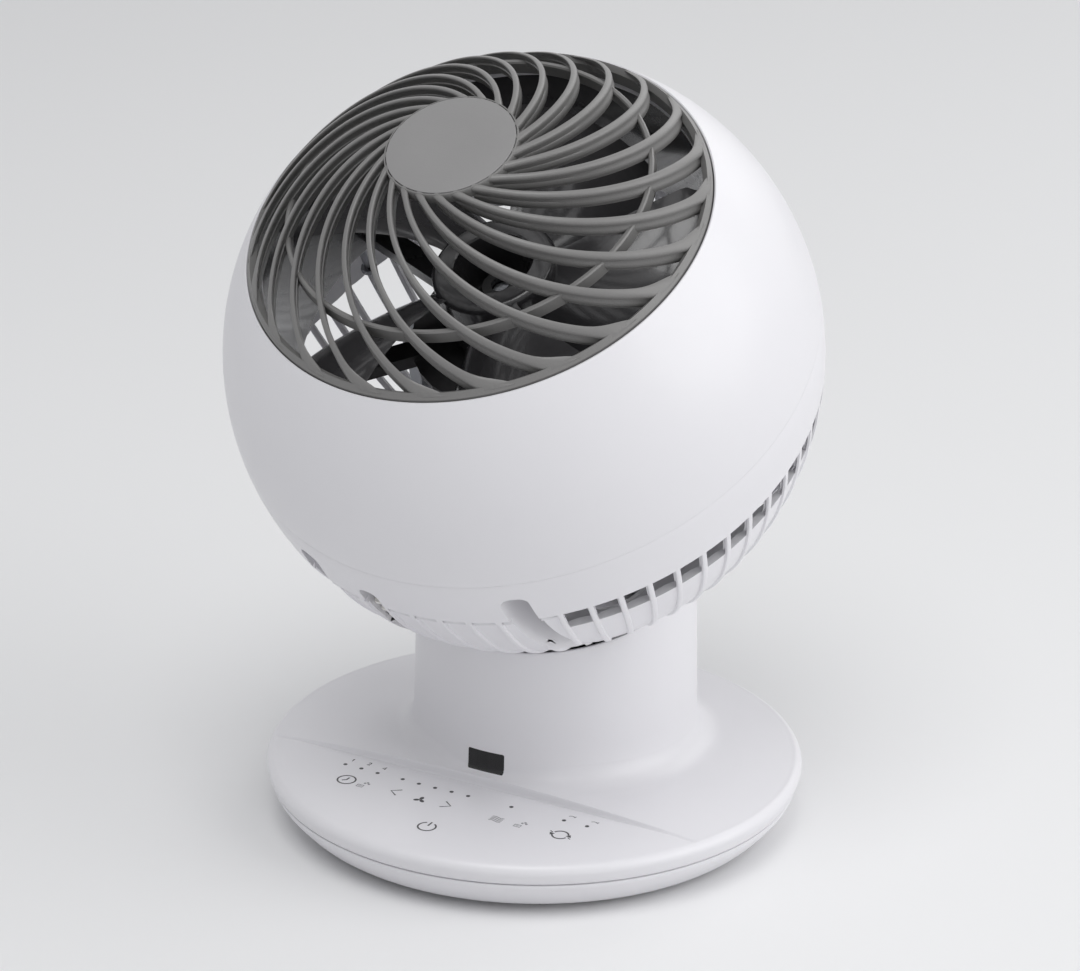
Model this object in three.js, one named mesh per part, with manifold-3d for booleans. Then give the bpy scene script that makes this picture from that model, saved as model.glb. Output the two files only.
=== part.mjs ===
// Table-top air circulator: a ball-shaped fan housing that tilts in a yoke, on a neck and round
// base that turn together on a weighted foot. Millimetres, +Z up, front towards -Y.
// The origin lies on the floor, under the middle of the whole object.

import * as THREE from 'three';
import { mergeVertices } from 'three/addons/utils/BufferGeometryUtils.js';
import Module from 'manifold-3d';

const wasm = await Module();
wasm.setup();

// ---------------------------------------------------------------- driving dimensions

// Clearances
const seatGap = 0.3;            // between two pieces that rest on or in each other
const runGap = 1.0;             // between pieces that move past each other
const screwGap = 0.3;           // round a screw shank in its hole

// Ball housing
const ballRadius = 105;         // outside of the round housing
const ballHeight = 178.2;       // its centre above the floor
const ballForward = 10.4;       // its centre ahead of the middle of the base
const headTilt = 60;            // rest position: discharge axis above the horizon, degrees
const tiltLowest = 0;           // lowest position of the discharge axis, degrees
const tiltHighest = 90;         // highest position of the discharge axis, degrees
const shellWall = 2.2;          // wall of the housing shells
const openingRadius = 81.2;     // round opening of the front shell
const seamBack = 1.3;           // the two shells part this far behind the ball's centre
const ledgeDepth = 5.4;         // ledge for the front grille, below the edge of the opening
const ledgeWidth = 3.8;
const ledgeThickness = 2;

// Rear shell
const ribCount = 60;            // rear ribs round the ball
const ribWidth = 1.8;
const windowFrontPolar = 102.7; // windows start here, degrees from the discharge axis
const windowRearPolar = 142;    // long windows end here
const windowShortPolar = 110;   // short windows beside the yoke slots end here
const longWindowFrom = -30;     // long windows fill this turn round the axis, degrees
const longWindowTo = 210;
const shortWindowSpan = 30;     // short windows fill this turn at each end of the long ones

// Yoke, slots and tilt drive
const yokeLean = 15;            // yoke arms lean back from the ball's centre, degrees
const armPlane = 40.25;         // middle of each yoke arm, left and right of the ball's centre
const armThickness = 4.5;
const armHalfWidth = 10;
const armEyeRadius = 10;
const armSlotWidth = 9.3;
const armSlotMargin = 3.4;      // free angle at both ends of an arm slot, degrees
const driveSlotMargin = 0.65;   // and of the drive slot
const slotWall = 1.6;           // walls that line the slots
const slotWallReach = 88;       // the walls reach in to this distance from the tilt axis
const slotWallRoot = 0.6;       // and stand this deep in the shell's own wall
const drivePlane = -15;         // middle of the tilt drive's slot and rack
const driveSlotWidth = 8;
const rackWidth = 5.8;
const rackSpineDepth = 3;
const rackRim = 4;              // solid rim under the rack's teeth
const wheelThickness = 4.6;
const tiltModule = 2;           // pitch diameter per tooth of the tilt gears
const rackTeeth = 100;          // teeth in a full turn of the arc rack
const wheelTeeth = 13;
const pivotPinRadius = 4;
const bushWall = 1.9;
const tiltMotorRadius = 13;
const tiltMotorOffset = 8.5;    // its case sits this far outside the line of its shaft
const tiltMotorLength = 20;

// Front grille
const grilleRibs = 22;
const grilleRibThickness = 2.1;
const grilleRibDepth = 9;
const ribArcRadius = 51;        // each rib is an arc of this radius, seen from the front
const ribArcOffset = 38;        // whose centre lies this far from the discharge axis
const ribArcTurn = 3.9;         // turn of the first arc's centre, degrees
const rimWidth = 3.7;
const hubRadius = 22.5;
const hubFace = 102.4;          // face of the hub disc ahead of the ball's centre
const hubPlate = 2.4;
const badgeThickness = 1.4;
const hoopRadius = 62.9;        // hoop that ties the ribs together
const hoopTop = 80;
const hoopHeight = 5;
const hoopThickness = 1.8;

// Duct, blades and motor
const ductRadius = 78.5;        // bore round the blades
const ductWall = 1.8;
const ductFlange = 5.5;
const bladeCount = 5;
const bladeTipGap = 2.5;
const bladeThickness = 2;
const bladeMiddle = 35;         // middle of the blades ahead of the ball's centre
const bladeRootChord = 30;
const bladeTipChord = 62;
const bladeRootPitch = 40;
const bladeTipPitch = 24;
const fanHubRadius = 22;
const fanHubHeight = 24;
const fanHubWall = 2;
const motorRadius = 31.5;
const motorBack = 26;           // rear end of the motor behind the ball's centre
const motorCoverHeight = 4.6;
const motorWall = 2.2;
const shaftRadius = 3;
const bearingRadius = 7;
const bearingHeight = 5;
const rotorRadius = 14;
const rotorHeight = 18;
const statorRadius = 27;
const bracketPlate = 3.2;
const bracketPlateRadius = 37;
const strutWidth = 8;
const strutHeight = 5.2;
const earThickness = 3;
const earHalfWidth = 9;

// Foot, base and neck
const footHeight = 2;           // rubber feet lift the foot shell this far
const footBottomRadius = 85.6;
const footBulge = 1.35;         // outward bow of the foot's side
const seamHeight = 14.8;        // the turning base meets the foot here
const seamRadius = 95.6;
const baseRadius = 97.5;
const baseEdgeHeight = 19.6;    // height of the widest line of the base
const baseEdgeRound = 3;
const domeRise = 4.4;           // base top rises this much from its edge to its middle
const baseWall = 2.2;
const panelHeight = 23.1;       // flat key panel
const panelBack = 38.8;         // its straight rear edge, ahead of the base centre
const neckBack = 15.6;          // neck axis behind the base centre
const neckRadius = 52.1;        // at the foot of the neck
const neckDraft = 1.3;          // degrees
const neckWall = 2.6;
const neckFillet = 8.2;
const neckGap = 3;              // between the ball and the rim of the neck
const footWall = 2.4;
const postRadius = 15;          // hollow post that the base turns on
const postBore = 10;
const postHeight = 20;
const collarWall = 3.7;
const retainerHeight = 2;
const glideRadius = 82.5;       // raised ring that the tray glides on
const glideWidth = 2;
const trayThickness = 2;
const ballastInner = 40;
const ballastOuter = 78;
const ballastThickness = 5;
const panModule = 2.5;          // pitch diameter per tooth of the turning gears
const panGearTeeth = 25;
const panPinionTeeth = 8;
const panGearHeight = 3.6;
const panMotorRadius = 21;
const panMotorHeight = 15.5;
const deckHeight = 33.5;        // underside of the deck that carries the yoke
const deckThickness = 2.5;
const bossRadius = 5;
const bossCircle = 45;
const bossTurn = 40;            // bosses stand this far from the left-right line, degrees
const rubberFootRadius = 7;
const rubberFootCircle = 74;
const screwRadius = 1.5;
const screwHead = 3;
const screwHeadHeight = 1.8;
const trayScrewCircle = 76;
const trayScrewTurn = 38;
const ballastScrewCircle = 66;

// Electrics
const boardThickness = 1.6;
const touchBoardRadius = 84;
const lightGuideY = 48.6;       // row of indicator lights, ahead of the base centre
const lightGuideLeft = -54;
const lightGuideRight = 51;
const lightGuideDepth = 4;
const mainBoardWidth = 52;
const mainBoardDepth = 36;
const mainBoardHeight = 24.5;
const infraredWidth = 14.6;
const infraredBottom = 27.5;
const infraredTop = 35.5;
const glandHeight = 7;
const glandRadius = 3.6;
const glandBore = 2.4;
const glandPadBack = 94.3;       // flat pad on the foot behind which the gland sits
const glandPadHalf = 7.5;
const glandLength = 17.5;

// Tooth proportions, in modules from the pitch line
const toothTip = 0.7;
const toothRoot = 1.05;

// Facets round a full turn
const fine = 40;
const medium = 28;
const coarse = 16;
const small = 8;
const bowlSteps = 7;            // rings of facets from the seam to the middle of the back

// ---------------------------------------------------------------- worked-out sizes

const rad = THREE.MathUtils.degToRad;
const ballInner = ballRadius - shellWall;
const ballY = -ballForward;
const openingHeight = Math.sqrt(ballRadius ** 2 - openingRadius ** 2);
const ledgeTop = openingHeight - ledgeDepth;
const ledgeBottom = ledgeTop - ledgeThickness;
const ductFront = ledgeBottom - seatGap;
const bracketFront = armEyeRadius + runGap + 0.5 + strutHeight;
const bracketBack = bracketFront - strutHeight;
const motorFront = bracketBack - seatGap;
const rackPitch = tiltModule * rackTeeth / 2;
const rackRoot = rackPitch - tiltModule * toothRoot - rackRim;
const wheelPitch = tiltModule * wheelTeeth / 2;
const wheelTip = wheelPitch + tiltModule * toothTip;
const driveReach = rackPitch + wheelPitch;
const panGearPitch = panModule * panGearTeeth / 2;
const panPinionPitch = panModule * panPinionTeeth / 2;
const panDistance = panGearPitch + panPinionPitch;
const armInner = armPlane - armThickness / 2;
const armOuter = armPlane + armThickness / 2;
const armExit = Math.sqrt(ballInner ** 2 - armPlane ** 2);
const armHalfAngle = THREE.MathUtils.radToDeg(Math.asin(armHalfWidth / armExit));
const wheelHalfAngle = THREE.MathUtils.radToDeg(Math.acos(
  (driveReach ** 2 + ballRadius ** 2 - wheelTip ** 2) / (2 * driveReach * ballRadius)));
const armSlot = slotAngles(armHalfAngle + armSlotMargin);
const driveSlot = slotAngles(wheelHalfAngle + driveSlotMargin);
const deckTop = deckHeight + deckThickness;
const trayBottom = seamHeight + 0.4;
const trayTop = trayBottom + trayThickness;
const footFloor = footHeight + footWall;
const ballastTop = footFloor + seatGap + ballastThickness;
const panGearBottom = ballastTop + 0.5;
const baseShoulder = baseEdgeHeight + baseEdgeRound;
const domeFrom = baseRadius - baseEdgeRound - 1;
const glandInner = baseRadius - 0.4 - glandLength;
const glandSeat = glandPadBack - glandInner;
const wheelY = ballY + driveReach * Math.sin(rad(yokeLean));
const wheelZ = ballHeight - driveReach * Math.cos(rad(yokeLean));
const frontReach = ballForward + ballRadius;
const originShift = (frontReach - baseRadius) / 2;

// First and last angle of a slot whose moving neighbour takes this half angle.
function slotAngles(half) {
  return [90 + yokeLean + tiltLowest - half, 90 + yokeLean + tiltHighest + half];
}

// ---------------------------------------------------------------- shape helpers

// Welds a geometry to bare positions and drops faces that shrank to a line.
function weld(geometry) {
  const bare = geometry.clone();
  bare.deleteAttribute('normal');
  bare.deleteAttribute('uv');
  const welded = mergeVertices(bare, 1e-4);
  const index = welded.getIndex().array;
  const kept = [];
  for (let i = 0; i < index.length; i += 3) {
    const [a, b, c] = [index[i], index[i + 1], index[i + 2]];
    if (a !== b && b !== c && c !== a) kept.push(a, b, c);
  }
  welded.setIndex(kept);
  return welded;
}

// Six times the enclosed volume, negative when the faces point inwards.
function signedVolume(geometry) {
  const p = geometry.getAttribute('position');
  const index = geometry.getIndex().array;
  const [a, b, c] = [new THREE.Vector3(), new THREE.Vector3(), new THREE.Vector3()];
  let sum = 0;
  for (let i = 0; i < index.length; i += 3) {
    a.fromBufferAttribute(p, index[i]);
    b.fromBufferAttribute(p, index[i + 1]);
    c.fromBufferAttribute(p, index[i + 2]);
    sum += a.dot(b.cross(c));
  }
  return sum;
}

// A welded geometry whose faces point outwards.
function closed(geometry) {
  const welded = weld(geometry);
  if (signedVolume(welded) < 0) welded.setIndex(Array.from(welded.getIndex().array).reverse());
  return welded;
}

// Geometry to solid, for joins and cuts.
function solid(geometry) {
  const shape = closed(geometry);
  return new wasm.Manifold(new wasm.Mesh({
    numProp: 3,
    vertProperties: new Float32Array(shape.getAttribute('position').array),
    triVerts: new Uint32Array(shape.getIndex().array),
  }));
}

// Solid back to geometry.
function geometryOf(body) {
  const mesh = body.getMesh();
  const geometry = new THREE.BufferGeometry();
  geometry.setAttribute('position', new THREE.BufferAttribute(new Float32Array(mesh.vertProperties), 3));
  geometry.setIndex(new THREE.BufferAttribute(new Uint32Array(mesh.triVerts), 1));
  return geometry;
}

function join(...geometries) {
  return geometryOf(geometries.map(solid).reduce((sum, next) => sum.add(next)));
}

function cut(geometry, ...tools) {
  return geometryOf(tools.map(solid).reduce((rest, tool) => rest.subtract(tool), solid(geometry)));
}

function common(first, second) {
  return geometryOf(solid(first).intersect(solid(second)));
}

// Turns an outline of [radius, height] points round the Z axis.
function revolve(outline, segments) {
  const points = outline.map(([r, z]) => new THREE.Vector2(r, z));
  const first = points[0];
  if (first.x > 0 || points[points.length - 1].x > 0) points.push(first.clone());
  return closed(new THREE.LatheGeometry(points, segments).rotateX(Math.PI / 2));
}

// [radius, height] points on a circle round the origin, angles from the Z axis.
function arcPoints(radius, fromAngle, toAngle, steps) {
  const points = [];
  for (let i = 0; i <= steps; i += 1) {
    const angle = rad(fromAngle + (toAngle - fromAngle) * i / steps);
    points.push([radius * Math.sin(angle), radius * Math.cos(angle)]);
  }
  return points;
}

function cylinder(radius, bottom, top, x = 0, y = 0, segments = small) {
  return new THREE.CylinderGeometry(radius, radius, top - bottom, segments)
    .rotateX(Math.PI / 2)
    .translate(x, y, (bottom + top) / 2);
}

function cylinderAlongX(radius, from, to, y = 0, z = 0, segments = small) {
  return new THREE.CylinderGeometry(radius, radius, to - from, segments)
    .rotateZ(Math.PI / 2)
    .translate((from + to) / 2, y, z);
}

function box(x0, x1, y0, y1, z0, z1) {
  return new THREE.BoxGeometry(x1 - x0, y1 - y0, z1 - z0)
    .translate((x0 + x1) / 2, (y0 + y1) / 2, (z0 + z1) / 2);
}

function extrude(shape, bottom, top) {
  return new THREE.ExtrudeGeometry(shape, { depth: top - bottom, bevelEnabled: false, curveSegments: small })
    .translate(0, 0, bottom);
}

// Extrudes an outline drawn in [y, z] along X.
function extrudeAlongX(shape, from, to) {
  const turn = new THREE.Matrix4().makeBasis(
    new THREE.Vector3(0, 1, 0), new THREE.Vector3(0, 0, 1), new THREE.Vector3(1, 0, 0));
  return extrude(shape, from, to).applyMatrix4(turn);
}

function polygon(points) {
  return new THREE.Shape(points.map(([x, y]) => new THREE.Vector2(x, y)));
}

// A slice of a ring round the tilt axis, drawn in [y, z]; angles run from +Z through -Y.
function ringSlice(inner, outer, fromAngle, toAngle, stepAngle = 8) {
  const steps = Math.ceil((toAngle - fromAngle) / stepAngle);
  const rim = arcPoints(outer, fromAngle, toAngle, steps);
  const back = arcPoints(inner, toAngle, fromAngle, steps);
  return polygon([...rim, ...back].map(([r, z]) => [-r, z]));
}

// A solid through rings of points; every ring has the same number of points.
function loft(rings) {
  const size = rings[0].length;
  const positions = rings.flat().flatMap((p) => [p.x, p.y, p.z]);
  const index = [];
  for (let i = 0; i + 1 < rings.length; i += 1) {
    for (let j = 0; j < size; j += 1) {
      const [a, b] = [i * size + j, i * size + (j + 1) % size];
      index.push(a, b, a + size, b, b + size, a + size);
    }
  }
  const last = (rings.length - 1) * size;
  for (let j = 1; j + 1 < size; j += 1) {
    index.push(0, j + 1, j);
    index.push(last, last + j, last + j + 1);
  }
  const geometry = new THREE.BufferGeometry();
  geometry.setAttribute('position', new THREE.Float32BufferAttribute(positions, 3));
  geometry.setIndex(index);
  return closed(geometry);
}

// Tooth outline points: tip and root corners of teeth spread over part of a turn.
function toothPoints(module, teeth, firstAngle, count) {
  const pitchAngle = 360 / teeth;
  const tip = module * (teeth / 2 + toothTip);
  const root = module * (teeth / 2 - toothRoot);
  const points = [];
  for (let i = 0; i < count; i += 1) {
    const middle = firstAngle + i * pitchAngle;
    const corners = [[root, -0.3], [tip, -0.12], [tip, 0.12], [root, 0.3]];
    for (const [radius, share] of corners) {
      const angle = rad(middle + share * pitchAngle);
      points.push([radius * Math.cos(angle), radius * Math.sin(angle)]);
    }
  }
  return points;
}

function gearShape(module, teeth, toothAngle, boreRadius) {
  const shape = polygon(toothPoints(module, teeth, toothAngle, teeth));
  if (boreRadius > 0) shape.holes.push(new THREE.Path().absarc(0, 0, boreRadius, 0, 2 * Math.PI, true));
  return shape;
}

function screwGeometry(headTop, length, x, y) {
  const headBottom = headTop - screwHeadHeight;
  return join(
    cylinder(screwHead, headBottom, headTop, x, y),
    cylinder(screwRadius, headBottom - length, headBottom + 0.5, x, y, small));
}

function around(count, radius, firstAngle) {
  const places = [];
  for (let i = 0; i < count; i += 1) {
    const angle = rad(firstAngle + i * 360 / count);
    places.push([radius * Math.cos(angle), radius * Math.sin(angle)]);
  }
  return places;
}

// ---------------------------------------------------------------- materials and meshes

const finish = {
  whiteGloss: { color: 0xf2f2f4, roughness: 0.3, metalness: 0 },
  greyPlastic: { color: 0x77787a, roughness: 0.45, metalness: 0 },
  badgeGrey: { color: 0x8a8b8d, roughness: 0.4, metalness: 0 },
  darkPlastic: { color: 0x2a2b2e, roughness: 0.3, metalness: 0 },
  blackPlastic: { color: 0x151516, roughness: 0.35, metalness: 0 },
  rubber: { color: 0x1d1d1e, roughness: 0.9, metalness: 0 },
  steel: { color: 0xb9bcc0, roughness: 0.35, metalness: 1 },
  castIron: { color: 0x4b4d50, roughness: 0.7, metalness: 1 },
  copper: { color: 0xb0703a, roughness: 0.4, metalness: 1 },
  brass: { color: 0xb59a5a, roughness: 0.35, metalness: 1 },
  gearNylon: { color: 0xe6e2d6, roughness: 0.5, metalness: 0 },
  circuitGreen: { color: 0x1f5a3a, roughness: 0.5, metalness: 0 },
  clearGuide: { color: 0xdfe6ea, roughness: 0.2, metalness: 0 },
};

function piece(name, geometry, look) {
  const mesh = new THREE.Mesh(geometry, new THREE.MeshStandardMaterial({ name, ...look }));
  mesh.name = name;
  return mesh;
}

// ---------------------------------------------------------------- foot

function footShell() {
  const top = seamHeight - seatGap / 2;
  const wallInner = seamRadius - footWall;
  const bottomInner = footBottomRadius - footWall;
  const gearSeat = panGearBottom - seatGap;
  const low = new THREE.Vector2(footBottomRadius, footHeight + 0.9);
  const high = new THREE.Vector2(seamRadius, top);
  const out = new THREE.Vector2(high.y - low.y, low.x - high.x).normalize();
  const side = [0, 1 / 3, 2 / 3, 1].map((share) => {
    const point = low.clone().lerp(high, share);
    return point.addScaledVector(out, footBulge * (1 - (2 * share - 1) ** 2)).toArray();
  });
  const dish = revolve([
    [0, footHeight], [footBottomRadius - 2, footHeight], ...side,
    [wallInner, top], [bottomInner, footFloor],
    [glideRadius + glideWidth / 2, footFloor], [glideRadius + glideWidth / 2, trayBottom - seatGap],
    [glideRadius - glideWidth / 2, trayBottom - seatGap], [glideRadius - glideWidth / 2, footFloor],
    [postRadius + 9, footFloor], [postRadius + 9, gearSeat], [postRadius, gearSeat],
    [postRadius, postHeight], [postBore, postHeight], [postBore, footFloor], [0, footFloor],
  ], medium);
  const glandPad = box(-glandPadHalf, glandPadHalf, bottomInner - 4, glandPadBack,
    footHeight + 0.5, glandHeight + glandRadius + 1.6);
  const glandHole = cylinder(glandRadius + seatGap, 0, 40, 0, 0, coarse)
    .rotateX(-Math.PI / 2).translate(0, glandInner - 5, glandHeight);
  const screwHoles = around(3, ballastScrewCircle, 30).map(([x, y]) => (
    cylinder(screwRadius + screwGap, footHeight + 0.6, footFloor + 1, x, y)));
  const wireNotch = box(-3, 3, 0, postRadius + 2, gearSeat + 5, postHeight + 1);
  return cut(join(dish, glandPad), glandHole, wireNotch, ...screwHoles);
}

function ballastRing() {
  const bottom = footFloor + seatGap;
  const ring = revolve([
    [ballastInner, bottom], [ballastOuter, bottom], [ballastOuter, ballastTop], [ballastInner, ballastTop],
  ], medium);
  const holes = around(3, ballastScrewCircle, 30).map(([x, y]) => (
    cylinder(screwRadius + screwGap, bottom - 1, ballastTop + 1, x, y)));
  return cut(ring, ...holes);
}

function panGear() {
  return extrude(
    gearShape(panModule, panGearTeeth, 90 + 180 / panGearTeeth, postRadius + seatGap),
    panGearBottom, panGearBottom + panGearHeight);
}

function panRetainer() {
  const bottom = postHeight + seatGap;
  return revolve([
    [postBore, bottom], [postRadius + collarWall - 0.6, bottom],
    [postRadius + collarWall - 0.6, bottom + retainerHeight], [postBore, bottom + retainerHeight],
  ], coarse);
}

function cordGland() {
  const outline = [
    [glandBore, 0], [glandRadius, 0], [glandRadius, glandSeat + seatGap],
    [glandRadius + 0.7, glandSeat + seatGap], [glandRadius + 0.7, glandSeat + 1.6],
    [glandRadius - 0.2, glandSeat + 1.9], [glandRadius - 0.8, glandLength], [glandBore, glandLength],
  ];
  return revolve(outline, coarse).rotateX(-Math.PI / 2).translate(0, glandInner, glandHeight);
}

function rubberFoot(x, y) {
  return cylinder(rubberFootRadius, 0, footHeight - seatGap, x, y, coarse);
}

function buildFoot(group) {
  group.add(piece('foot_shell', footShell(), finish.whiteGloss));
  group.add(piece('ballast_ring', ballastRing(), finish.castIron));
  group.add(piece('pan_gear', panGear(), finish.gearNylon));
  group.add(piece('pan_retainer', panRetainer(), finish.steel));
  group.add(piece('cord_gland', cordGland(), finish.blackPlastic));
  around(4, rubberFootCircle, 45).forEach(([x, y], i) => {
    group.add(piece(`rubber_foot_${i + 1}`, rubberFoot(x, y), finish.rubber));
  });
  around(3, ballastScrewCircle, 30).forEach(([x, y], i) => {
    const headTop = ballastTop + seatGap + screwHeadHeight;
    const length = headTop - screwHeadHeight - footHeight - 0.9;
    group.add(piece(`ballast_screw_${i + 1}`, screwGeometry(headTop, length, x, y), finish.steel));
  });
}

// ---------------------------------------------------------------- base and neck

// Height of the base top's outside at a radius.
function domeHeight(radius) {
  return baseShoulder + domeRise * (1 - (radius / domeFrom) ** 2);
}

function domePoints(drop) {
  return [0.7, 0.35, 0].map((share) => (
    [domeFrom * share, domeHeight(domeFrom * share) - drop]));
}

function baseOutside() {
  const edge = baseRadius - baseEdgeRound;
  return revolve([
    [0, seamHeight + seatGap / 2], [seamRadius + 0.1, seamHeight + seatGap / 2],
    [baseRadius, baseEdgeHeight], [edge + 0.92 * baseEdgeRound, baseEdgeHeight + 0.5 * baseEdgeRound],
    [edge + 0.5 * baseEdgeRound, baseEdgeHeight + 0.87 * baseEdgeRound],
    [domeFrom, baseShoulder], ...domePoints(0),
  ], fine);
}

function baseInside() {
  const bottom = seamHeight - 1;
  const inside = revolve([
    [0, bottom], [seamRadius - baseWall, bottom], [baseRadius - baseWall - 0.4, baseEdgeHeight - 0.4],
    [domeFrom - 1, baseShoulder - baseWall], ...domePoints(baseWall),
  ], medium);
  const underPanel = box(-baseRadius, baseRadius, -baseRadius, baseWall - panelBack,
    panelHeight - baseWall, panelHeight + domeRise);
  return cut(inside, underPanel);
}

function neckRadiusAt(height) {
  return neckRadius - Math.tan(rad(neckDraft)) * (height - panelHeight);
}

function neckOutside() {
  const foot = domeHeight(neckBack + neckRadius) + 0.6;
  const rise = [270, 240, 210, 180].map((angle) => [
    neckRadius + neckFillet + neckFillet * Math.cos(rad(angle)),
    foot + neckFillet + neckFillet * Math.sin(rad(angle)),
  ]);
  const top = ballHeight - ballRadius * 0.6;
  return revolve([
    [0, panelHeight - 4], [neckRadius + neckFillet, panelHeight - 4], ...rise,
    [neckRadiusAt(top), top], [0, top],
  ], fine).translate(0, neckBack, 0);
}

function neckInside() {
  const top = ballHeight - ballRadius * 0.6 + 1;
  return revolve([
    [0, seamHeight + 3], [neckRadius - neckWall, seamHeight + 3],
    [neckRadiusAt(top) - neckWall, top], [0, top],
  ], medium).translate(0, neckBack, 0);
}

function infraredCut(clearance) {
  const half = infraredWidth / 2 + clearance;
  return box(-half, half, neckBack - neckRadius - 6, neckBack - neckRadius + 12,
    infraredBottom - clearance, infraredTop + clearance);
}

function bossPlaces() {
  return [bossTurn, 180 - bossTurn, 180 + bossTurn, -bossTurn].map((turn) => (
    [bossCircle * Math.cos(rad(turn)), neckBack + bossCircle * Math.sin(rad(turn))]));
}

function baseTop() {
  const bowl = arcPoints(ballRadius + neckGap, 120, 180, 9);
  const neckSphere = revolve([[0, ballRadius / 2], [bowl[0][0], ballRadius / 2], ...bowl], fine)
    .translate(0, ballY, ballHeight);
  const panelCut = box(-baseRadius, baseRadius, -baseRadius - 1, -panelBack, panelHeight, ballHeight / 4);
  const outside = cut(join(baseOutside(), neckOutside()), neckSphere, panelCut);
  const hollow = join(baseInside(), neckInside());
  const shell = cut(outside, hollow, infraredCut(0));
  const trayPosts = around(4, trayScrewCircle, trayScrewTurn).map(([x, y]) => cut(
    cylinder(4, trayTop + seatGap, baseShoulder, x, y),
    cylinder(screwRadius + screwGap, trayTop - 1, baseShoulder - 2.6, x, y)));
  const deckBosses = bossPlaces().map(([x, y]) => cut(
    cylinder(bossRadius, trayTop + 4, deckHeight - seatGap, x, y),
    cylinder(screwRadius + screwGap, deckHeight - 10, deckHeight, x, y)));
  return join(shell, ...trayPosts, ...deckBosses);
}

function baseTray() {
  const plate = revolve([
    [postRadius + seatGap, trayBottom], [seamRadius - baseWall - 0.6, trayBottom],
    [seamRadius - baseWall - 0.6, trayTop], [postRadius + collarWall, trayTop],
    [postRadius + collarWall, postHeight], [postRadius + seatGap, postHeight],
  ], medium);
  const shaftHole = cylinder(5, trayBottom - 1, trayTop + 1, 0, panDistance, coarse);
  const screwHoles = around(4, trayScrewCircle, trayScrewTurn).map(([x, y]) => (
    cylinder(screwRadius + screwGap, trayBottom - 1, trayTop + 1, x, y)));
  return cut(plate, shaftHole, ...screwHoles);
}

function infraredWindow() {
  const wall = cut(neckOutside(), neckInside());
  return common(wall, infraredCut(-seatGap));
}

function infraredReceiver() {
  const front = neckBack - neckRadius + neckWall + 1.8;
  const [bottom, top] = [infraredBottom + 0.7, deckHeight - 0.6];
  const lens = cylinder(2, 0, 2.4).rotateX(Math.PI / 2).translate(0, front + 1.4, (bottom + top) / 2);
  return join(box(-4, 4, front, front + 3.4, bottom, top), lens);
}

function touchBoard() {
  const bottom = panelHeight - baseWall - boardThickness - 1.6;
  const chord = panelBack + 3;
  const half = Math.acos(chord / touchBoardRadius);
  const shape = new THREE.Shape();
  shape.absarc(0, 0, touchBoardRadius, -Math.PI / 2 - half, -Math.PI / 2 + half, false);
  const posts = around(4, trayScrewCircle, trayScrewTurn).map(([x, y]) => (
    cylinder(4 + 3 * seatGap, bottom - 1, bottom + boardThickness + 1, x, y)));
  return cut(extrude(shape, bottom, bottom + boardThickness), ...posts);
}

function lightGuide() {
  const bottom = panelHeight - baseWall - 1.6 + seatGap;
  return box(lightGuideLeft, lightGuideRight, -lightGuideY - lightGuideDepth / 2,
    -lightGuideY + lightGuideDepth / 2, bottom, panelHeight - baseWall - seatGap);
}

function mainBoard() {
  const y = neckBack - bossCircle / 2;
  const boardTop = mainBoardHeight + boardThickness;
  const board = box(-mainBoardWidth / 2, mainBoardWidth / 2, y - mainBoardDepth / 2,
    y + mainBoardDepth / 2, mainBoardHeight, boardTop);
  const legs = [[-1, -1], [1, -1], [-1, 1], [1, 1]].map(([sx, sy]) => cylinder(
    2.4, trayTop + seatGap, mainBoardHeight + 0.4,
    sx * (mainBoardWidth / 2 - 3), y + sy * (mainBoardDepth / 2 - 3)));
  const transformer = box(-mainBoardWidth / 2 + 4, -mainBoardWidth / 2 + 20, y - 8, y + 8,
    boardTop - 0.4, deckHeight - 1);
  const capacitor = cylinder(4, boardTop - 0.4, deckHeight - 1, mainBoardWidth / 2 - 8, y, coarse);
  return join(board, ...legs, transformer, capacitor);
}

function panMotor() {
  const bottom = trayTop + seatGap;
  const can = cylinder(panMotorRadius, bottom, bottom + panMotorHeight, 0, panDistance, coarse);
  const bore = cylinder(3 + seatGap, bottom - 1, bottom + 5, 0, panDistance);
  return cut(can, bore);
}

function panPinion() {
  const bottom = panGearBottom + 0.2;
  const teeth = extrude(gearShape(panModule, panPinionTeeth, -90, 0),
    bottom, bottom + panGearHeight - 0.2).translate(0, panDistance, 0);
  return join(teeth, cylinder(3, bottom + 1, trayTop + 4, 0, panDistance));
}

function yokeDeck() {
  const radius = neckRadiusAt(deckHeight) - neckWall - seatGap - 0.5;
  const disc = cylinder(radius, deckHeight, deckTop, 0, neckBack, medium);
  const holes = bossPlaces().map(([x, y]) => (
    cylinder(screwRadius + screwGap, deckHeight - 1, deckTop + 1, x, y)));
  const wirePass = cylinder(7, deckHeight - 1, deckTop + 1, 0, neckBack - 20, coarse);
  return cut(disc, wirePass, ...holes);
}

// One yoke arm, drawn from the side and given its thickness; side is -1 or 1.
function yokeArm(side) {
  const foot = deckTop + seatGap;
  const lean = Math.tan(rad(yokeLean));
  const reach = armHalfWidth / Math.cos(rad(yokeLean));
  const footY = ballY + (ballHeight - foot) * lean;
  const blade = extrudeAlongX(polygon([
    [ballY - reach, ballHeight], [footY - reach, foot], [footY + reach, foot], [ballY + reach, ballHeight],
  ]), armInner, armOuter);
  const eye = cylinderAlongX(armEyeRadius, armInner, armOuter, ballY, ballHeight, coarse);
  const bore = cylinderAlongX(pivotPinRadius + bushWall + 2 * seatGap, armInner - 1, armOuter + 1,
    ballY, ballHeight, coarse);
  const flange = box(armInner - 8, armOuter, footY - reach, footY + reach, foot, foot + 3);
  const arm = cut(join(blade, eye, flange), bore);
  return side > 0 ? arm : closed(arm.scale(-1, 1, 1));
}

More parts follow.
